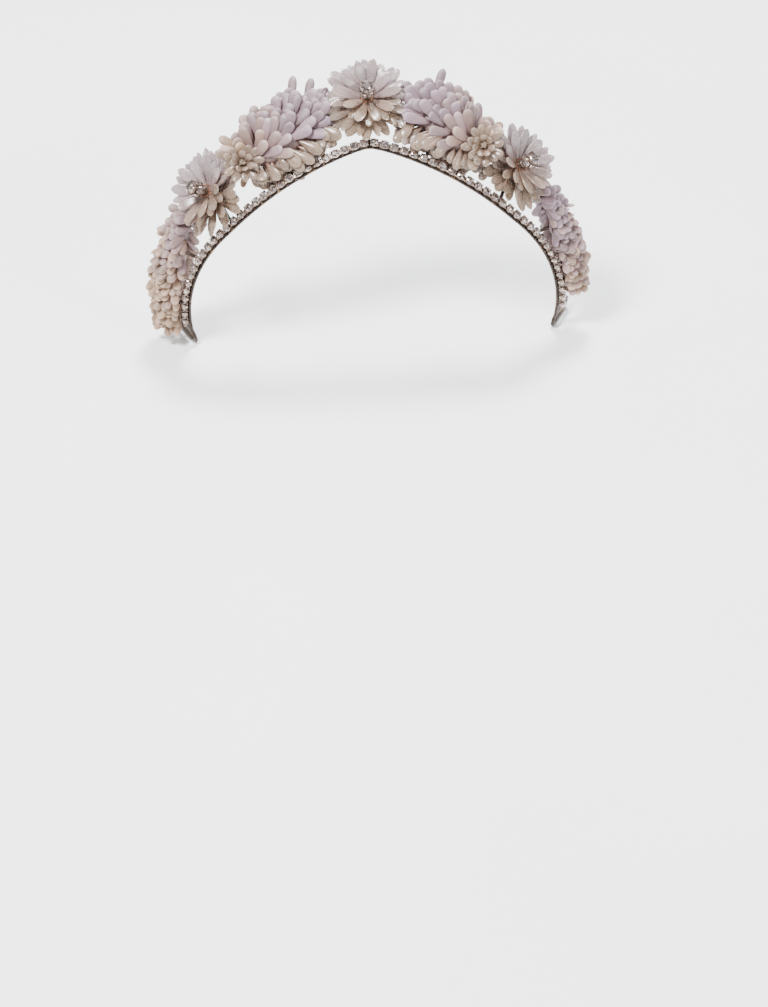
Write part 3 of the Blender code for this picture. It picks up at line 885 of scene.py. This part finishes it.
def end_loop(sign, metal):
    """A flat loop with a long slot, its edges rounded."""
    along, _, out = band_axes(BAND_END * sign)
    middle = place(BAND_END * sign) + along * sign * LOOP_DROP - out * LOOP_THICKNESS / 2
    loop = started("end_loop", bpy.ops.mesh.primitive_circle_add, vertices=32,
                   radius=LOOP_RADIUS, fill_type="NGON")
    edit_all(loop)
    bpy.ops.mesh.inset(thickness=LOOP_RADIUS - LOOP_HOLE_RADIUS, depth=0.0)
    bpy.ops.mesh.delete(type="ONLY_FACE")
    leave_edit()
    for vertex in loop.data.vertices:
        vertex.select = vertex.co.x > 0.00001
    bpy.ops.object.mode_set(mode="EDIT")
    bpy.ops.transform.translate(value=(LOOP_LENGTH, 0, 0))
    leave_edit()
    edit_all(loop)
    bpy.ops.mesh.normals_make_consistent(inside=False)
    leave_edit()
    apply_modifier(loop, "SOLIDIFY", thickness=LOOP_THICKNESS, offset=0.0)
    apply_modifier(loop, "BEVEL", width=0.25 * MM, segments=3, limit_method="ANGLE",
                   angle_limit=math.radians(40))
    tidy_normals(loop)
    shade(loop, crease_deg=35)
    lifted = Matrix.Translation((0, 0, LOOP_THICKNESS / 2))
    return made_of(loop, metal, facing(middle, out, loop_axis(sign)) @ lifted)


def build_row(side, setting, metal):
    """Half of the row of set stones on its thin strip."""
    sign = -1.0 if side == "left" else 1.0
    lengths, angles = walk_band(sign)
    usable = lengths[-1] - CHAIN_END_MARGIN
    count = int((usable - STONE_PITCH / 2) / STONE_PITCH) + 1
    ends = (STONE_PITCH * 0.06, STONE_PITCH * count)
    line = [float(np.interp(distance, lengths, angles))
            for distance in np.linspace(*ends, count * 2 + 1)]
    foot = STRIP_THICKNESS / 2 + GAP
    strip = swept_strip("row_strip", line, CHAIN_STRIP_WIDTH, CHAIN_STRIP_THICKNESS,
                        foot + CHAIN_STRIP_THICKNESS / 2)
    parts = [made_of(strip, metal)]
    for number in range(count):
        angle = float(np.interp(STONE_PITCH * (number + 0.5), lengths, angles))
        _, up, out = band_axes(angle)
        seat = facing(place(angle) + out * (foot + CHAIN_STRIP_THICKNESS * 0.3), out, up)
        parts += setting.at(seat, STONE_RADIUS, number + 40 * (sign > 0))
    return finished(joined(f"tiara_row_{side}", parts), "rhinestone", f"chain_{side}")


def petal_warmth_and_shade(flat, angle):
    """How champagne a daisy's petal is: those that hang down are warm, the rest cool, partly in
    their own colour and partly as painted warm shade.
    """
    down = -flat.normalized().dot(upward(angle))
    return held(0.45 + 0.6 * down)


def ring_petals(ring, level, half_step, angle, middle, petals):
    """The petals of one ring of a daisy, each with its seat."""
    out = outward(angle)
    for number in range(ring["petals"]):
        salt = number + 20 * level + 50 * half_step + angle
        turn = TAU * (number + 0.5 * level + half_step) / ring["petals"]
        sway = RING_WAVE * math.sin(5.0 * number + 2.0 * angle) + uneven(salt, 5, RING_SWAY)
        reach = 1.0 + RING_REACH * math.sin(3.7 * number + 4.0 * angle)
        reach += RING_REACH * max(0.0, math.cos(turn + math.pi)) if level == 0 else 0.0
        lift = math.radians(ring["lift_deg"] + uneven(salt, 7, RING_LIFT_DEG))
        flat = Matrix.Rotation(turn + sway, 4, out) @ upward(angle)
        direction = flat * math.cos(lift) + out * math.sin(lift)
        seat = facing(middle, direction, out.cross(direction))
        twist = Matrix.Rotation(uneven(salt, 3, RING_TWIST), 4, "Z")
        width = ring["width"] * (0.86 + 0.16 * scatter_value(salt, 4))
        size = sized(width, ring["thickness"], ring["length"] * reach)
        yield seat, copy_of(petals[number % len(petals)], seat @ twist @ size,
                            tone=scatter_value(salt, 1), warmth=petal_warmth_and_shade(flat, angle))


def build_ring(side, level, rings, angle, height, petals, crystal, amber):
    """One layer of a daisy: glossy petals on a bound hub."""
    out = outward(angle)
    foot = place(angle, height, hub_out(level))
    seat = facing(foot, out, upward(angle))
    hub_radius = HUB_RADIUS * (1.0 - 0.15 * level)
    hub = drawn_form("hub", 20, ((0.0, 1.7, 1.7), (0.25, 2.0, 2.0), (0.75, 1.9, 1.9),
                                 (1.0, 1.2, 1.2)))
    parts = [made_of(hub, amber, seat @ sized(hub_radius, hub_radius, HUB_THICKNESS))]
    bind = made_of(ring_form("bind_model", 0.22, 10), amber)
    middle = foot + out * HUB_THICKNESS / 2
    main, filling = rings
    for root, petal in ring_petals(main, level, 0.0, angle, middle, petals):
        grip = Matrix.Translation((0, 0, hub_radius * 1.15)) @ sized(
            main["width"] * 0.17, main["thickness"] * 0.3, 0.9 * MM)
        parts += [petal, copy_of(bind, root @ grip)]
    parts += [petal for _, petal in ring_petals(filling, level, 0.5, angle, middle, petals)]
    coil = []
    for step in range(49):
        turn = TAU * step / 12
        radius = POST_RADIUS * 1.25 + (hub_radius - POST_RADIUS * 1.3) * step / 48
        lie = HUB_THICKNESS * (1.02 - 0.12 * step / 48)
        coil.append(Vector((radius * math.cos(turn), radius * math.sin(turn), lie)))
    parts.append(made_of(wire_form("hub_coil", coil, 0.24 * MM), amber, seat))
    drop(bind)
    name = ("back", "front")[level]
    piece = joined(f"daisy_{side}_{name}_petals", parts)
    return finished(piece, "crystal_petal", f"daisy_{side}_{name}")


def build_button(side, angle, height, setting, metal):
    """The jewelled button: a large stone and a ring of small ones on a domed post."""
    out = outward(angle)
    foot = place(angle, height, hub_out(2))
    seat = facing(foot, out, upward(angle))
    post = drawn_form("post", 16, ((0.0, 1.9, 1.9), (0.18, 2.0, 2.0), (0.24, 1.7, 1.7),
                                   (0.75, 1.7, 1.7), (1.0, 2.2, 2.2), (1.1, 1.6, 1.6)))
    made_of(post, metal, seat @ sized(POST_RADIUS, POST_RADIUS, POST_LENGTH))
    rows = [(-math.cos(turn), max(0.02, 2 * math.sin(turn)), max(0.02, 2 * math.sin(turn)))
            for turn in np.linspace(0.05, math.pi - 0.05, 12)]
    dome = drawn_form("dome", 20, rows)
    middle = foot + out * (POST_LENGTH + DOME_RADIUS)
    made_of(dome, metal, facing(middle, out, upward(angle))
            @ sized(DOME_RADIUS, DOME_RADIUS, DOME_RADIUS))
    top = facing(middle + out * (DOME_RADIUS - CUP_DEPTH * 0.6), out, upward(angle))
    parts = [post, dome, *setting.at(top, TOP_STONE_RADIUS * TOP_STONE_GROWTH, 90 + height,
                                     painted_glint=0.65)]
    for number in range(SIDE_STONES):
        flat = Matrix.Rotation(TAU * number / SIDE_STONES, 4, out) @ upward(angle)
        axis = flat * math.sin(SIDE_STONE_TILT) + out * math.cos(SIDE_STONE_TILT)
        spot = middle + axis * (DOME_RADIUS - CUP_DEPTH * 0.75)
        parts += setting.at(facing(spot, axis, out), SIDE_STONE_RADIUS * SIDE_STONE_GROWTH,
                            100 + number, 3, painted_glint=0.7)
    piece = joined(f"daisy_{side}_jewel", parts)
    return finished(piece, "rhinestone", f"daisy_{side}_button")


def branch_point(spray, share, height_off=0.0):
    """A point of a spray's branch, with the angle it lies at."""
    angle = math.radians(between(spray["start_deg"], spray["end_deg"], share))
    height = between(spray["start_height"], spray["end_height"], share)
    return angle, place(angle, height + height_off, spray["out"])


class Clearances:
    """Keeps petals out of the opening, the row of stones and the daisies' hearts."""

    def __init__(self):
        self.line = np.array([place(angle, 0.0, 1.5 * MM)
                              for angle in np.linspace(-BAND_END, BAND_END, 200)])
        self.daisies = [(place(angle, height), outward(angle))
                        for _, angle, height in DAISIES]

    def free(self, points, half_width):
        """Whether a petal of this half width may pass through all of the points."""
        for point in points:
            if math.hypot(point.x / BAND_HALF_WIDTH, point.z / BAND_RISE) < 1.0:
                return False
            if np.linalg.norm(self.line - np.array(point), axis=1).min() < ROW_ROOM + half_width:
                return False
            for hub, out in self.daisies:
                off = point - hub
                rise = off.dot(out)
                flat = (off - out * rise).length
                low = STEM_ROOM if flat < HUB_RADIUS * 1.6 else HEART_FLOOR
                if low < rise < HEART_ROOM + flat * 0.5 and flat < HEART_RADIUS:
                    return False
        return True

    def trim(self, root, reach, width):
        """The share of its reach that a petal keeps, or None where it has no room."""
        for share in TRIMS:
            if self.free([root + reach * share * at for at in (0.6, 0.8, 1.0)], width * 0.15):
                return share
        return None


def body_point(spray, level, around, share=1.0, least=0.5):
    """A point on the full body of a spray that its petals grow from."""
    angle, middle = branch_point(spray, level)
    fullness = math.sin(math.pi * min(0.999, max(0.001, level))) ** SPRAY_FULLNESS
    swell = max(least, fullness) * share
    return (middle + upward(angle) * math.sin(around) * spray["body_up"] * swell
            + outward(angle) * math.cos(around) * spray["body_out"] * swell)


def body_normal(spray, level, around):
    """The direction straight out of a spray's body at a point."""
    step = 0.01
    first = body_point(spray, level + step, around) - body_point(spray, level - step, around)
    second = body_point(spray, level, around + step) - body_point(spray, level, around - step)
    normal = first.cross(second).normalized()
    _, middle = branch_point(spray, level)
    if normal.dot(body_point(spray, level, around) - middle) < 0:
        normal.negate()
    return normal


def petal_way(normal, flow, spread):
    """Where a petal on a spray points: with the flow, fanned out towards the edges."""
    front = normal.dot(FRONT)
    seen = held(0.5 + front)
    level = (flow - FRONT * flow.dot(FRONT)).normalized()
    fan = normal - FRONT * front
    return (flow.lerp(level, seen) + fan * spread + normal * SPRAY_LIFT).normalized()


def petal_face(normal):
    """Where the broad side of a petal on a spray looks: out, and rather to the front."""
    return (normal + FRONT * max(0.0, normal.dot(FRONT) + 0.3)).normalized()


def grown_petal(template, root, direction, face, size, number, **marks):
    """A copy of a petal from its root along a direction, its broad side facing a way."""
    length, width, thickness = size
    if abs(face.dot(direction)) > 0.7:
        face = FRONT if abs(FRONT.dot(direction)) < 0.7 else ACROSS
    seat = facing(root, direction, direction.cross(face))
    twist = Matrix.Rotation(uneven(number, 5, 0.5), 4, "Z")
    return copy_of(template, seat @ twist @ sized(width, thickness, length), **marks)


def spray_places(spray, early):
    """Each petal's number, how far along the spray it grows, and where around it."""
    number = 0
    for row in range(spray["rows"]):
        level = early + (1.0 - early) * row / (spray["rows"] - 1)
        count = round(spray["around"] * max(0.6, math.sin(math.pi * level)) ** SPRAY_FULLNESS)
        for step in range(count):
            number += 1
            around = step + 0.5 * (row % 2) + uneven(number, 1, 0.4)
            yield number, level, TAU * around / count


def petal_flow(spray, level, normal, up, along, below):
    """Which way a petal runs, how far it fans out, and how it splays where a spray starts."""
    if "lower" in spray["name"]:
        opening = SPRAY_OPENING * max(0.0, 1.0 - 2.5 * (level - SPRAY_EARLY))
        return along + up * (spray["rise"] + opening), SNUG_FAN if below else spray["fan"], 0.0
    turn = min(1.0, 2.0 * level / SPRAY_TURN - 1.0)
    closing = 1.0 - FAN_CLOSING * max(0.0, level - FAN_CLOSES) / (1.0 - FAN_CLOSES)
    flow = along * 0.7 - up * 0.8
    if not below:
        droop = held(-2.0 * normal.dot(up))
        flow = along * turn + up * (spray["rise"] * (1.0 - droop) - SPRAY_DROOP * droop)
    return flow, spray["fan"] * closing, 1.0 - abs(turn)


def build_spray(spray, petals, glassy, clear, matte):
    """Rows of overlapping petals, like scales, on a full body round a branch."""
    _, start = branch_point(spray, 0.0)
    _, end = branch_point(spray, 1.0)
    along = (end - start).normalized()
    upper = "upper" in spray["name"]
    parts = [spray_core(spray, matte)]
    for number, level, around in spray_places(spray, 0.0 if upper else SPRAY_EARLY):
        up = upward(branch_point(spray, level)[0])
        normal = body_normal(spray, level, around)
        below = normal.dot(up) < UNDERSIDE + 0.25 * scatter_value(number, 9)
        hangs = upper and below
        flow, fan, splay = petal_flow(spray, level, normal, up, along, below)
        root = body_point(spray, level + uneven(number, 1, 0.03), around,
                          SNUG_SHARE if below and not upper else ROOT_SHARE)
        veer = Matrix.Rotation(uneven(number, 8, SPRAY_VEER), 4, normal)
        way = petal_way(normal, flow.normalized(), fan)
        direction = (veer @ way + normal * SPRAY_SPLAY * splay).normalized()
        length = spray["length"] * (0.8 + 0.45 * scatter_value(number, 2))
        width = spray["width"] * (0.82 + 0.3 * scatter_value(number, 4))
        trim = clear.trim(root, direction * length, width)
        if trim is None:
            continue
        # Warmer towards a spray's lower end and full on the petals that hang below an upper
        # spray: partly the petals' own champagne, partly painted warm shade.
        warmth = between(spray["warm_start"], spray["warm_end"], level)
        warmth += uneven(number, 10, 0.6)
        kind = glassy if hangs else petals
        size = (length * trim, width * (0.7 + 0.3 * trim), width * 0.26)
        parts.append(grown_petal(kind[number % len(kind)], root, direction,
                                 petal_face(normal), size, number,
                                 tone=scatter_value(number, 6),
                                 warmth=1.0 if hangs else held(warmth)))
    if upper:
        parts += burst(spray, glassy, clear)
        parts += fringe(spray, along, glassy)
    parts += tall_petals(spray, along, petals)
    piece = joined(spray["name"] + "_petals", parts)
    return finished(piece, "matte_petal", spray["name"])


def fringe(spray, along, petals):
    """The glassy petals that hang below an upper spray; their low tone and champagne tint are
    partly their own colour and partly painted shade below the spray.
    """
    fall = next(row for row in FRINGES if row["spray"] == spray["name"])
    parts = []
    for number in range(fall["petals"]):
        share = (number + 0.6 * scatter_value(number, 13)) / fall["petals"]
        angle = math.radians(between(fall["start_deg"], fall["end_deg"], share))
        top = FRINGE_TOP + uneven(number, 14, 1.5 * MM)
        foot = FRINGE_FOOT + 2.0 * MM * scatter_value(number, 15)
        root = place(angle, top, FRINGE_OUT + 1.5 * MM * (number % 2))
        sway = 0.9 * (scatter_value(number, 16) - 0.4)
        direction = (along * sway - upward(angle) + FRONT * 0.12).normalized()
        reach = (top - foot) / max(0.7, -direction.dot(upward(angle)))
        # Low tone and warm tint: partly the petals' own colour, partly painted shade below the
        # spray.
        parts.append(grown_petal(petals[number % len(petals)], root, direction, FRONT,
                                 (reach, FRINGE_WIDTH, FRINGE_WIDTH * 0.35), number,
                                 tone=0.7 * scatter_value(number, 17),
                                 warmth=0.5 + 0.5 * scatter_value(number, 18)))
    return parts


def tall_petals(spray, along, petals):
    """The few petals that stand out above the rest of a spray, darkened with a low tone as
    painted shade.
    """
    parts = []
    for number, tall in enumerate(TALL_PETALS):
        if tall["spray"] != spray["name"]:
            continue
        angle = math.radians(tall["angle_deg"])
        direction = (upward(angle) + along * tall["lean"]).normalized()
        tip = place(angle, tall["height"], spray["out"])
        # The low tone is painted shade on these tall petals.
        parts.append(grown_petal(petals[1], tip - direction * TALL_SIZE[0], direction, FRONT,
                                 TALL_SIZE, number, tone=0.2 * scatter_value(number, 12),
                                 warmth=0.15))
    return parts


def burst(spray, petals, clear):
    """The small champagne flower at the outer end of an upper spray, with a closed heart."""
    angle, middle = branch_point(spray, BURST_PLACE)
    heart = middle + FRONT * spray["body_out"] * 0.9
    parts = []
    for ring, (count, length, width, lift_deg) in enumerate(BURST_RINGS):
        lift = math.radians(lift_deg)
        for number in range(count):
            salt = number + 31 * ring + angle
            turn = TAU * (number + 0.5 * ring + 0.3 * scatter_value(salt, 2)) / count
            flat = Matrix.Rotation(turn, 4, FRONT) @ ACROSS.cross(FRONT).normalized()
            direction = flat * math.cos(lift) + FRONT * math.sin(lift)
            reach = length * (0.85 + 0.3 * scatter_value(salt, 3))
            trim = clear.trim(heart, direction * reach, width)
            if trim is None:
                continue
            face = FRONT * math.cos(lift) - flat * math.sin(lift)
            parts.append(grown_petal(petals[number % len(petals)], heart, direction, face,
                                     (reach * trim, width, width * 0.35), salt,
                                     tone=0.6 * scatter_value(salt, 4), warmth=1.0))
    return parts


def spray_core(spray, matte):
    """The wound branch deep inside a spray, which closes the view between its petals; its low
    tone and root colour are painted shade.
    """
    rows = []
    for turn in np.linspace(0.12, math.pi - 0.12, 13):
        rows.append((-math.cos(turn), 2 * math.sin(turn), 2 * math.sin(turn)))
    core = drawn_form("core", 18, rows)
    for vertex in core.data.vertices:
        level = math.acos(max(-1.0, min(1.0, -vertex.co.z))) / math.pi
        vertex.co = body_point(spray, level, math.atan2(vertex.co.y, vertex.co.x), 0.8, 0.0)
    tidy_normals(core)
    made_of(core, matte)
    # Painted shade: a low tone and a reach that give it mostly the darker root colour.
    mark(core, reach=0.45, tone=0.2, warmth=0.4)
    return core


def build_stage(colours):
    """A plain pale floor, soft lights and the camera."""
    floor = started("floor", bpy.ops.mesh.primitive_plane_add, size=12.0)
    made_of(floor, floor_finish(colours))
    scene = bpy.context.scene
    for name, spot, size, power, colour in LIGHTS:
        data = bpy.data.lights.new(name, "AREA")
        data.shape = "DISK"
        data.size = size
        data.energy = power
        data.color = colour
        lamp = linked(name, data)
        lamp.location = spot
        lamp.rotation_euler = (LIGHT_AIM - Vector(spot)).to_track_quat("-Z", "Y").to_euler()
    world = bpy.data.worlds.new("pale_room")
    world.use_nodes = True
    sky = world.node_tree.nodes["Background"].inputs
    sky["Color"].default_value = (0.93, 0.94, 0.96, 1)
    sky["Strength"].default_value = 1.0
    scene.world = world
    camera = linked("camera", bpy.data.cameras.new("camera"))
    camera.data.sensor_fit = "HORIZONTAL"
    camera.data.sensor_width = SENSOR_WIDTH
    camera.data.lens = CAMERA_PIXELS / PHOTO_WIDTH * SENSOR_WIDTH
    camera.data.clip_end = 50.0
    back = -CAMERA_AIM.normalized()
    right = (CAMERA_RIGHT - back * CAMERA_RIGHT.dot(back)).normalized()
    turn = Matrix((right, back.cross(right), back)).transposed()
    camera.matrix_world = Matrix.Translation(CAMERA_PLACE) @ turn.to_4x4()
    scene.camera = camera


def colour_property(name, description, default):
    """A colour that the panel shows."""
    return bpy.props.FloatVectorProperty(name=name, description=description, subtype="COLOR",
                                         size=3, min=0.0, max=1.0, default=default)


class TiaraColours(bpy.types.PropertyGroup):
    """The colours of the tiara's finishes."""

    lilac: colour_property("Lilac", "Matte petals, most of them", (0.215, 0.150, 0.182))
    # The root colours, here and for the champagne petals below, are painted shade where petals
    # lie under the ones above.
    lilac_root_shade: colour_property("Deep lilac", "Matte petals at the root", (0.20, 0.135, 0.15))
    # The rim colours, here and for the champagne petals below, are painted highlights on the
    # petal tips.
    rim: colour_property("Pale rim", "Tips of the lilac petals", (0.44, 0.37, 0.405))
    warm_rim_highlight: colour_property("Warm rim", "Tips of the champagne petals", (0.52, 0.40, 0.295))
    champagne: colour_property("Champagne", "The warm matte petals", (0.34, 0.228, 0.15))
    champagne_root_shade: colour_property("Deep champagne", "Warm petals at the root",
                                    (0.21, 0.125, 0.08))
    daisy_cool_root: colour_property("Daisy, cool, inner", "Inner part of the upper petals",
                                     (0.33, 0.225, 0.225))
    daisy_cool_tip: colour_property("Daisy, cool, tip", "Tips of the upper petals",
                                    (0.44, 0.365, 0.38))
    # The warm colours of the lower petals are partly their own champagne and partly painted warm
    # shade.
    daisy_warm_root: colour_property("Daisy, warm, inner", "Inner part of the lower petals",
                                     (0.23, 0.135, 0.10))
    daisy_warm_tip: colour_property("Daisy, warm, tip", "Tips of the lower petals",
                                    (0.33, 0.245, 0.18))
    # The stones' middling tone; the darker and brighter facets around it are painted
    # reflections.
    stone: colour_property("Stones", "Facets of middling brightness", (0.42, 0.34, 0.31))
    cup: colour_property("Cups", "The plated cups and claws", (0.46, 0.38, 0.33))
    band: colour_property("Band", "Dark antique plating", (0.045, 0.032, 0.026))
    band_worn: colour_property("Band, worn", "Where the plating is rubbed",
                               (0.26, 0.17, 0.11))
    amber: colour_property("Amber wire", "Wire at the heart of a daisy", (0.14, 0.045, 0.02))
    floor: colour_property("Floor", "The pale floor", (0.94, 0.94, 0.945))


class TiaraSizes(bpy.types.PropertyGroup):
    """Sizes that can be changed without moving the pieces."""

    daisy_curl: bpy.props.FloatProperty(
        name="Daisy petal curl", description="How far a daisy petal's tip turns forward",
        default=0.35, min=-1.0, max=1.0, subtype="FACTOR")
    spray_curl: bpy.props.FloatProperty(
        name="Spray petal curl", description="How far a spray petal's tip turns forward",
        default=0.8, min=-2.0, max=2.0, subtype="FACTOR")
    dish: bpy.props.FloatProperty(
        name="Dish", description="How deep a daisy petal's front is hollowed",
        default=0.28, min=0.0, max=0.5, subtype="FACTOR")


class TiaraBand(bpy.types.Operator):
    """Models the dark band with its stems and end loops"""

    bl_idname = "tiara.band"
    bl_label = "Band"

    def execute(self, context):
        build_band(band_finish(context.scene.tiara_colours))
        return {"FINISHED"}


class TiaraStones(bpy.types.Operator):
    """Models both halves of the row of set stones and the daisies' jewelled buttons"""

    bl_idname = "tiara.stones"
    bl_label = "Stone rows and buttons"

    def execute(self, context):
        colours = context.scene.tiara_colours
        metal = cup_finish(colours)
        setting = Setting(metal, stone_finish(colours))
        for side in ("left", "right"):
            build_row(side, setting, metal)
        for side, angle, height in DAISIES:
            build_button(side, angle, height, setting, metal)
        setting.drop()
        return {"FINISHED"}


class TiaraDaisies(bpy.types.Operator):
    """Models the three daisies, a back ring and a front ring of petals each"""

    bl_idname = "tiara.daisies"
    bl_label = "Daisies"

    def execute(self, context):
        colours = context.scene.tiara_colours
        sizes = context.scene.tiara_sizes
        crystal = crystal_petal_finish(colours)
        amber = amber_finish(colours)
        petals = []
        for number, curl in enumerate((1.0, 0.4, -0.3)):
            petal = make_petal(f"daisy_petal_{number}", DAISY_PETAL, sizes.daisy_curl * curl,
                               sizes.dish, 12)
            petals.append(made_of(petal, crystal))
        for side, angle, height in DAISIES:
            for level, rings in enumerate((BACK_RINGS, FRONT_RINGS)):
                build_ring(side, level, rings, angle, height, petals, crystal, amber)
        drop(*petals)
        return {"FINISHED"}


class TiaraSprays(bpy.types.Operator):
    """Models the four sprays of overlapping matte petals"""

    bl_idname = "tiara.sprays"
    bl_label = "Sprays"

    def execute(self, context):
        colours = context.scene.tiara_colours
        sizes = context.scene.tiara_sizes
        matte = matte_petal_finish(colours)
        champagne = crystal_petal_finish(colours, "champagne_petal_finish")
        petals = []
        glassy = []
        for number, curl in enumerate((1.0, 0.5, -0.2)):
            petal = make_petal(f"spray_petal_{number}", SPRAY_PETAL, sizes.spray_curl * curl,
                               sizes.dish, 10)
            petals.append(made_of(petal, matte))
            petal = make_petal(f"fringe_petal_{number}", DAISY_PETAL,
                               sizes.daisy_curl * curl, sizes.dish)
            glassy.append(made_of(petal, champagne))
        clear = Clearances()
        for spray in SPRAYS:
            build_spray(spray, petals, glassy, clear, matte)
        drop(*petals, *glassy)
        return {"FINISHED"}


class TiaraStage(bpy.types.Operator):
    """Sets the floor, the lights and the camera"""

    bl_idname = "tiara.stage"
    bl_label = "Stage"

    def execute(self, context):
        build_stage(context.scene.tiara_colours)
        return {"FINISHED"}


OPERATORS = (TiaraStage, TiaraBand, TiaraStones, TiaraDaisies, TiaraSprays)


class TiaraPanel(bpy.types.Panel):
    """Lists the steps that make the tiara"""

    bl_idname = "VIEW3D_PT_tiara"
    bl_label = "Tiara"
    bl_space_type = "VIEW_3D"
    bl_region_type = "UI"
    bl_category = "Tiara"

    def draw(self, context):
        for operator in OPERATORS:
            self.layout.operator(operator.bl_idname)
        for group in (context.scene.tiara_sizes, context.scene.tiara_colours):
            for name in group.__annotations__:
                self.layout.prop(group, name)


CLASSES = (TiaraColours, TiaraSizes, *OPERATORS, TiaraPanel)


def register():
    for cls in CLASSES:
        bpy.utils.register_class(cls)
    bpy.types.Scene.tiara_colours = bpy.props.PointerProperty(type=TiaraColours)
    bpy.types.Scene.tiara_sizes = bpy.props.PointerProperty(type=TiaraSizes)


def unregister():
    del bpy.types.Scene.tiara_sizes
    del bpy.types.Scene.tiara_colours
    for cls in reversed(CLASSES):
        bpy.utils.unregister_class(cls)


def main():
    register()
    bpy.ops.tiara.stage()
    bpy.ops.tiara.band()
    bpy.ops.tiara.stones()
    bpy.ops.tiara.daisies()
    bpy.ops.tiara.sprays()
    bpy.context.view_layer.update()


if __name__ == "__main__":
    main()
